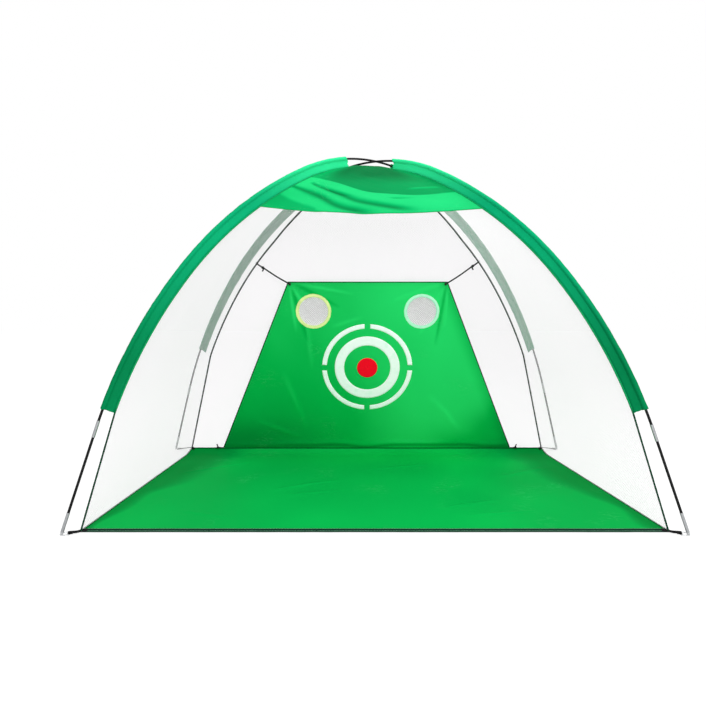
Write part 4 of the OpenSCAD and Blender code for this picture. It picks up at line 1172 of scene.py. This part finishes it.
def pocket(side, word):
    """Knotted net: a shallow bowl behind the hole, sewn flat round it."""
    pitch, reach = 0.0070, POCKET_R + RIM_W - 0.002
    mouth = POCKET_R + POCKET_T
    bowl = (mouth ** 2 + POCKET_DEPTH ** 2) / (2 * POCKET_DEPTH)
    n = int(reach / pitch * 1.5) + 2
    index, points, edges = {}, [], []
    for i in range(-n, n + 1):
        for j in range(-n, n + 1):
            p = np.array([(i + j) * pitch * 0.5 * 1.25, (i - j) * pitch * 0.5 * 1.4])
            p = p + 0.0005 * np.array([math.sin(3.1 * i + 1.7 * j), math.cos(2.3 * i - 1.1 * j)])
            if np.hypot(*p) <= reach:
                index[i, j] = len(points)
                points.append(p)
    for (i, j), k in index.items():
        for di, dj in ((1, 0), (0, 1)):
            if (i + di, j + dj) in index:
                edges.append((k, index[i + di, j + dj]))
    flat = np.array(points)
    far = np.hypot(flat[:, 0], flat[:, 1])
    dip = np.sqrt(np.maximum(bowl ** 2 - far ** 2, 0)) - (bowl - POCKET_DEPTH)
    deep = np.where(far < mouth - 0.001, dip, 0)
    x, up = side * POCKET_X + flat[:, 0], POCKET_UP + flat[:, 1]
    space = on_folds(x, up, -TWINE_BACK - deep)
    piece = grown(f"{word}_pocket_netting", space, edges, KNOTTED_NET, Twine=TWINE_R, Knot=TWINE_KNOT_R,
                  Material=POCKET_TWINE)
    settle(piece, "target", "pocket_mesh", f"{word}_pocket_net")
    return piece


def target_pieces():
    sheet_piece = target()
    extra, rows = prints(), []
    for side, word, tape in ((-1, "left", LEFT_RIM), (1, "right", RIGHT_RIM)):
        band, sewn = rim(side, word, tape)
        rows += sewn
        extra += [band, pocket(side, word)]
    rim_stitches = sew("rim_stitches", rows, PALE_THREAD, "target", "rim_tape", pitch=0.0048, length=0.0032)
    # Narrow hems, sewn down along the sides and the top
    up = np.linspace(0.012, SHEET_LEN - 0.004, 220)
    hems = []
    for side in (-1, 1):
        x = side * (half_at(up) - HEM_FOLD)
        hems.append(on_folds(x, up, HEM_THREAD_AHEAD))
    x = np.linspace(-TOP_HALF + 0.008, TOP_HALF - 0.008, 180)
    hems.append(on_folds(x, np.full(len(x), SHEET_LEN - HEM_FOLD), HEM_THREAD_AHEAD))
    hem_stitches = sew("target_hem_stitches", hems, GREEN_THREAD, "target", "sheet_cloth")
    # The bottom roll has no lit attribute, so its cloth takes the darkest colour: painted shade along the
    # sheet's foot.
    x = np.linspace(-SHEET_BOTTOM / 2, SHEET_BOTTOM / 2, 300)
    roll = round_cord("target_bottom_roll", on_sheet(x, 0 * x), ROLL_R, UP, TARGET_CLOTH)
    settle(roll, "target", "sheet_cloth")
    # The two sides and the top are folded over a thin cord, whose near-black colour is painted shade along
    # the edges
    up = np.linspace(0.004, SHEET_LEN, 200)
    sides = [np.stack([side * half_at(up), up], 1) for side in (-1, 1)]
    x = np.linspace(-TOP_HALF, TOP_HALF, 120)
    edge = np.concatenate([sides[0], np.stack([x, np.full(120, SHEET_LEN)], 1)[1:-1], sides[1][::-1]])
    edge = on_folds(edge[:, 0], edge[:, 1])
    cord = round_cord("target_edge_hem", edge, EDGE_HEM_R, SHEET_FRONT, EDGE_HEM_SHADE)
    settle(cord, "target", "sheet_cloth")
    extra += [rim_stitches, hem_stitches, roll, cord]


target_pieces()


# ---- Ties ----
def coil(across, up, along, turns, steps):
    """Turns of a cord round the point 0, from half of along before it to half of along behind it."""
    t = np.linspace(0, 2 * math.pi * turns, steps)[:, None]
    return np.cos(t) * across + np.sin(t) * up + (t / t[-1] - 0.5) * along


def knot(centre, way, size):
    """Points of an overhand knot pulled tight, with the cord running in and out along way."""
    way = unit(way)
    side = unit(np.cross(way, [0.1, 0.2, 1.0]))
    other = np.cross(way, side)
    return centre + coil(side * size * 0.30, other * size * 0.30, way * size * 0.55, 1.5, 26)


def cord_piece(name, path, radius):
    return round_cord(name, path, radius, steady(path), TIE_CORD)


def joined(name, pieces):
    """One piece from several."""
    work = bmesh.new()
    for p in pieces:
        work.from_mesh(p.data)
    mesh = bpy.data.meshes.new(name)
    work.to_mesh(mesh)
    work.free()
    mesh.materials.append(pieces[0].data.materials[0])
    mesh.shade_smooth()
    for p in pieces:
        bpy.data.objects.remove(p)
    return placed(name, mesh)


TOP_CORD_R, BOTTOM_CORD_R, BOTTOM_TAIL_R, SEAM_TURN_R = TIE_D * 0.9, 0.0030, 0.0028, 0.0014


def top_tie(word):
    corner = CORNER[f"back_{word}"]
    side = -1 if word == "left" else 1
    near = corner.seam([TIE_REACH - 0.001, TIE_REACH + 0.001])
    way = unit(near[1] - near[0])
    seam_mid = corner.seam(TIE_REACH)[0]
    off_back = unit(np.cross(way, [1, 0, 0]))
    off_side = unit(np.cross(way, side * (CORNER[f"front_{word}"].seam(TIE_REACH)[0] - seam_mid)))
    clear = NET_T / 2 + TIE_D / 2 + 2 * GAP
    seam_end = seam_mid + clear / (1 + off_back @ off_side) * (off_back + off_side)
    corner_end = on_sheet(side * (TOP_HALF - KNOT_D), SHEET_LEN - KNOT_D, SHEET_T / 2 + GAP + KNOT_D / 2)
    line = unit(corner_end - seam_end)
    knot_at = seam_end + line * KNOT_BACK
    first = curve_through([seam_end, seam_end + line * KNOT_BACK * 0.5 - UP * 0.0008,
                           knot_at - line * 0.002], 6)
    middle = (knot_at + corner_end) / 2 - UP * 0.003
    second = curve_through([knot_at + line * 0.002, middle, corner_end], 16)
    tail = curve_through([knot_at, knot_at - UP * 0.006 + line * 0.003,
                          knot_at - UP * 0.013 + line * 0.001 + [0, -0.002, 0],
                          knot_at - UP * 0.019 - line * 0.003], 6)
    knotted = np.concatenate([first, knot(knot_at, line, KNOT_D * 1.3), second])
    parts = [cord_piece("a", knotted, TOP_CORD_R), cord_piece("b", tail, TOP_CORD_R * 0.92),
             cord_piece("c", knot(corner_end, line, KNOT_D), TOP_CORD_R)]
    piece = joined(f"{word}_tie_cord", parts)
    settle(piece, "target", "tie_cord", f"{word}_top_tie")
    # Two turns of the cord stay round the seam
    wrap = coil(corner.across * 0.0042, np.cross(way, corner.across) * 0.0054, way * 0.0065, 2, 60)
    turns = cord_piece(f"{word}_seam_turns", seam_mid + wrap, SEAM_TURN_R)
    settle(turns, "cage", "tie_cord")


for word in ("left", "right"):
    top_tie(word)


def bottom_ties():
    parts = []
    net_front = (HALF_SPAN - MAT_BACK_GAP - TAPE_W) * math.sin(AZIMUTH) - 0.0015
    for side in (-1, 1):
        start = np.array([side * (SHEET_BOTTOM / 2 + GAP), HINGE[1], HINGE[2]])
        knot_at = np.array([start[0] + side * BOTTOM_TIE, net_front - GAP - KNOT_D * 0.8,
                            HINGE[2] + KNOT_D * 0.7 - ROLL_R])
        run = curve_through([start, start + [side * 0.014, 0, 0.0003],
                             knot_at - [side * 0.003, 0, 0.001]], 8)
        way = np.array([side * 1.0, -0.1, 0.2])
        tail = curve_through([knot_at, knot_at + [side * 0.001, -0.001, 0.007],
                              knot_at + [side * 0.004, -0.002, TAIL_LEN]], 8)
        parts += [cord_piece("a", np.concatenate([run, knot(knot_at, way, KNOT_D * 1.4)]), BOTTOM_CORD_R),
                  cord_piece("b", tail, BOTTOM_TAIL_R)]
    piece = joined("hem_tie_cords", parts)
    settle(piece, "cage", "tie_cord", "bottom_ties")


bottom_ties()

# ---- Corner webbing: from the mat round the bar of each foot ring and back ----
EYE_UP = EYE_R / math.sin(LEG)
EYE_OUT = HALF_SPAN - EYE_UP * math.cos(LEG)
RING_Z = STRAP_T + GAP + RING_WIRE / 2
BAR_OUT = EYE_OUT - (STRAP_W + 0.001 + RING_WIRE) / 2 - RING_SIDE
LOOP_R = RING_WIRE / 2 + GAP
STRAP_THREAD_LIFT = 0.0007

fold = LOOP_R + WEBBING_T
turn = np.radians(np.linspace(90, -90, 12))
loop = np.stack([BAR_OUT + fold * np.cos(turn), RING_Z + fold * np.sin(turn)], 1)
strap_rows = []
for corner in CORNER.values():
    edge = np.array([HALF_SPAN - corner.mat_gap,
                     HEM_T / 2 if corner.front else BACK_LIFT + MAT_T / 2 + STRAP_T / 2])
    over = HEM_T + 0.0016 if corner.front else TAPE_T + BACK_LIFT + 0.0004
    top = curve_through([[edge[0] - 0.026, over - (0 if corner.front else 0.008)],
                         [edge[0] - 0.012, over], [edge[0] + 0.004, max(over - 0.0012, edge[1])],
                         [edge[0] + 0.4 * (BAR_OUT - 0.01 - edge[0]),
                          edge[1] + 0.4 * (RING_Z - edge[1]) + 0.0012],
                         [BAR_OUT - 0.006, RING_Z + 0.0017], loop[0]], 8)
    back = curve_through([loop[-1], [BAR_OUT - 0.006, RING_Z - 0.0004],
                          [BAR_OUT - 0.45 * (BAR_OUT - edge[0]),
                           RING_Z + 0.45 * (edge[1] - RING_Z) - 0.0002]], 8)
    line = np.concatenate([top[:-1], loop, back[1:]])
    v = np.linspace(-1, 1, 9)
    points = corner.place(line)[:, None] + (v * STRAP_W / 2)[None, :, None] * corner.across
    uv = map_of(v * STRAP_W / 2, run_of(line))
    strap = add_grid(f"{corner.name}_webbing", points, uv, STRAP_WEBBING)
    thicken(strap, WEBBING_T, CENTRED)
    start, stop = corner.place(edge)[0], corner.place([BAR_OUT - 0.004, RING_Z])[0]
    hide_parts(f"{corner.name}_strap")
    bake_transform(strap)
    # A sewn box holds the webbing on the mat
    box = points[1:15] + STRAP_THREAD_LIFT * UP
    strap_rows += [box[:, 1], box[:, -2], box[0, 1:-1], box[-1, 1:-1]]
sew("strap_stitches", strap_rows, BLACK_THREAD, "cage", "black_webbing", pitch=0.004, length=0.003)

# ---- Floor, backdrop, light and camera ----
FLOOR_HALF, FLOOR_Z = 20.0, -0.0008
FLOOR_GLOW, GLOW_SHARE, SKY_LIGHT = 1.18, 0.72, 0.62


def grey(level):
    return (level, level, level, 1.0)


def seen_directly(tree):
    """1 for rays from the camera, a shiny face or a clear one, and 0 for light that bounces."""
    ray = put(tree, "ShaderNodeLightPath").outputs
    direct = sum_of(tree, "MAXIMUM", ray["Is Camera Ray"], ray["Is Glossy Ray"])
    return sum_of(tree, "MAXIMUM", direct, ray["Is Transmission Ray"])


def floor():
    material, tree = new_material("studio_floor")
    bounce = put(tree, "ShaderNodeBsdfDiffuse", {"Color": grey(0.82)}).outputs[0]
    seen = put(tree, "ShaderNodeBsdfDiffuse", {"Color": grey(0.9)}).outputs[0]
    white = put(tree, "ShaderNodeEmission", {"Color": grey(1.0), "Strength": FLOOR_GLOW}).outputs[0]
    shown = either(tree, GLOW_SHARE, seen, white)
    finished(material, tree, either(tree, seen_directly(tree), bounce, shown))
    points = [[x * FLOOR_HALF, y * FLOOR_HALF, FLOOR_Z] for x, y in ((-1, -1), (1, -1), (1, 1), (-1, 1))]
    ground = add_mesh("studio_ground", points, [[0, 1, 2, 3]], None, material)


def world():
    scene_world = bpy.data.worlds.new("studio_light")
    scene_world.use_nodes = True
    tree = scene_world.node_tree
    tree.nodes.clear()
    light = put(tree, "ShaderNodeBackground", {"Color": grey(1.0), "Strength": SKY_LIGHT}).outputs[0]
    white = put(tree, "ShaderNodeBackground", {"Color": grey(1.0), "Strength": 1.0}).outputs[0]
    put(tree, "ShaderNodeOutputWorld", {0: either(tree, seen_directly(tree), light, white)})
    bpy.context.scene.world = scene_world


def lamp(name, place, aim, size, power):
    data = bpy.data.lights.new(name, "AREA")
    data.shape, data.size, data.energy = "DISK", size, power
    item = placed(name, data)
    item.location = place
    item.rotation_euler = (Vector(aim) - Vector(place)).to_track_quat("-Z", "Y").to_euler()


floor()
world()
lamp("overhead_softbox", (0.9, -0.5, 3.9), (0.0, 0.0, 0.5), 2.4, 62.0)
lamp("front_softbox", (1.2, -4.2, 2.0), (0.0, 0.2, 0.6), 2.6, 100.0)

FOCAL_PX, SIDE_PX, HORIZON_PX = 483.3, 706, 315.7
lens = bpy.data.cameras.new("camera")
lens.sensor_width = 36.0
lens.lens = 36.0 * FOCAL_PX / SIDE_PX
lens.shift_y = (HORIZON_PX - SIDE_PX / 2) / SIDE_PX
camera = placed("camera", lens)
camera.location = (-0.070, -2.039, 0.700)
camera.rotation_euler = (math.pi / 2, 0.0, 0.0)
bpy.context.scene.camera = camera
bpy.context.scene.view_settings.view_transform = "Standard"
